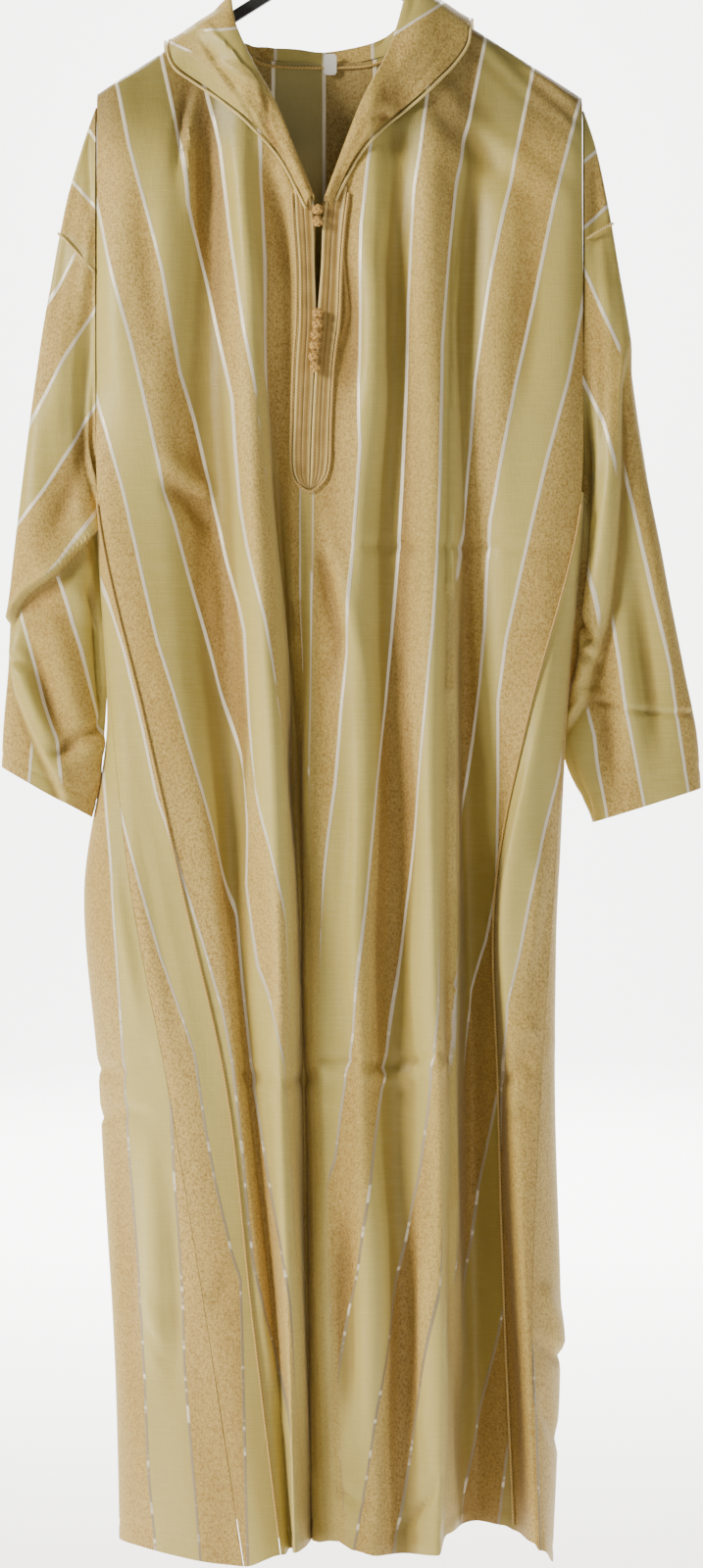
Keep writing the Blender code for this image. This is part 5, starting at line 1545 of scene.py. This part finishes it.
def cordKnot(order, x, z):
    # one cord woven over and under itself round a small ball
    y = frontY(cadFrontSkin, x, z) - knots["radius"] - robe["seamGap"] - placket["thick"] - placket["gap"]
    if z > robe["openSlitZ"]:
        y += knots["sink"]
    centre = Vector((x, y, z))
    size = knots["radius"] - knots["cord"]
    path = []
    for k in range(knots["steps"]):
        turn = 2.0 * pi * knots["leads"] * k / knots["steps"]
        rise = knots["rise"] * sin(knots["bights"] * turn / knots["leads"])
        over = size + knots["weave"] * cos(2.0 * knots["bights"] * turn / knots["leads"])
        tilt = knots["tilt"] * (order % 3 - 1)
        p = Vector((over * cos(rise) * cos(turn), over * sin(rise), over * cos(rise) * sin(turn)))
        tilted = (p.x * cos(tilt) - p.z * sin(tilt), p.y, p.x * sin(tilt) + p.z * cos(tilt))
        path.append(centre + Vector(tilted))
    sides = knots["sides"]
    points, uv, faces = [], [], []
    for k, point in enumerate(path):
        along = (path[(k + 1) % len(path)] - path[k - 1]).normalized()
        out = (point - centre).normalized()
        across = along.cross(out).normalized()
        up = across.cross(along)
        for a in range(sides):
            angle = 2.0 * pi * a / sides
            points.append(point + knots["cord"] * (across * cos(angle) + up * sin(angle)))
            uv.append((a / sides, k * knots["uvStep"]))
    count = len(path)
    for k in range(count):
        for a in range(sides):
            b = (a + 1) % sides
            m = (k + 1) % count
            faces.append((k * sides + a, k * sides + b, m * sides + b, m * sides + a))
    base = len(points)
    core = bmesh.new()
    bmesh.ops.create_icosphere(core, subdivisions=2, radius=size)
    for vertex in core.verts:
        points.append(vertex.co + centre)
        uv.append((0.0, 0.0))
    faces += [tuple(base + v.index for v in face.verts) for face in core.faces]
    core.free()
    piece = meshPiece("dressed_knot_%d" % order, np.array(points), faces, knotCord, uv)
    shell = bmesh.new()
    shell.from_mesh(piece.data)
    bmesh.ops.recalc_face_normals(shell, faces=shell.faces)
    shell.to_mesh(piece.data)
    shell.free()
    return dress(piece, "knot_%d" % order)


knotPieces = [cordKnot(order + 1, x, z) for order, (x, z) in enumerate(knotPlaces)]
print("placket ready")

# piping on the seams, binding and label
piping = {"radius": 1.1, "off": 0.5, "top": -588.0, "bottom": -1540.0, "points": 240, "turn": 1.75,
          "turns": 72, "binding": 1.4, "bindingHalf": 66.0, "bindingPoints": 60}


def seamPath(line):
    s = float(lineAt[line])
    path = []
    for z in np.linspace(piping["top"], piping["bottom"], piping["points"]).tolist():
        across = bodyPoint(s + 0.2, z) - bodyPoint(s - 0.2, z)
        down = bodyPoint(s, z - 5.0) - bodyPoint(s, z + 5.0)
        out = down.cross(across).normalized()
        path.append(bodyPoint(s, z) + out * (piping["radius"] + piping["off"]))
    return path


def armholePath(rings, seam):
    start = Vector((seam[0], 0.0, seam[1]))
    run = Vector((seam[2], 0.0, seam[3])) - start
    side = 1.0 if run.x > 0 else -1.0

    def above(k, turn):
        point = sleevePoint(rings, k, turn) - start
        return side * (run.x * point.z - run.z * point.x)

    path = []
    for step in range(piping["turns"] + 1):
        turn = piping["turn"] * (2.0 * step / piping["turns"] - 1.0)
        low, high = 0.0, 5.0
        if above(low, turn) <= 0.0 or above(high, turn) >= 0.0:
            continue
        for _ in range(20):
            middle = (low + high) / 2.0
            if above(middle, turn) > 0.0:
                low = middle
            else:
                high = middle
        out = sleeveNormal(rings, low, turn) * (piping["radius"] + 0.3)
        path.append(sleevePoint(rings, low, turn) + out)
    return path


for node, line in (("piping_left", "frontSeamLeft"), ("piping_right", "frontSeamRight")):
    dress(cordPiece("dressed_" + node, seamPath(line), piping["radius"], goldCord, 0.06, 3.0), node)
for node, rings, seam in (("armhole_piping_left", leftSleeveRings, leftArmhole),
                          ("armhole_piping_right", rightSleeveRings, rightArmhole)):
    dress(cordPiece("dressed_" + node, armholePath(rings, seam), piping["radius"] + 0.1, paleCord, 0.06,
                    2.6), node)

bindingPath = []
for k in range(piping["bindingPoints"] + 1):
    x = robe["neckX"] + piping["bindingHalf"] * (2.0 * k / piping["bindingPoints"] - 1.0)
    z = backTop(x) - 5.0
    bindingPath.append((x, meet(cadBackSkin, x, z, 0.0, -1.0) - 0.5 - 1.3, z))
dress(cordPiece("dressed_neck_binding", bindingPath, piping["binding"], goldCord, 0.05, 3.0), "neck_binding")

labelLook = {"left": -12.0, "width": 12.0, "top": 8.0, "bottom": -12.0, "thick": 0.8, "rows": 24,
             "columns": 12, "corner": 2.4}
labelY = meet(cadBackSkin, -6.0, robe["backNeckZ"] - 5.0, 0.0, -1.0) - 2.0 * 1.3 - 0.9
outer, inner = [], []
for j in range(labelLook["rows"] + 1):
    rise = labelLook["top"] + (labelLook["bottom"] - labelLook["top"]) * j / labelLook["rows"]
    corner = max(0.0, abs(j - 12.0) - 9.0) / 3.0
    narrow = labelLook["corner"] * corner * corner
    outerRow, innerRow = [], []
    for i in range(labelLook["columns"] + 1):
        x = labelLook["left"] + narrow + (labelLook["width"] - 2.0 * narrow) * i / labelLook["columns"]
        y = labelY - labelLook["thick"] + 0.15 * cos(i * pi) * (j % 2) - 0.5 * sin(pi * j / 24.0)
        outerRow.append((x, y, robe["backNeckZ"] + rise))
        innerRow.append((x, y + labelLook["thick"], robe["backNeckZ"] + rise))
    outer.append(outerRow)
    inner.append(innerRow)
noStripes = np.zeros((labelLook["rows"] + 1, labelLook["columns"] + 1))
labelPiece = wallPiece("dressed_label", np.array(outer), np.array(inner), blankLabel, noStripes, noStripes)
dress(labelPiece, "label")
print("piping, binding and label ready")
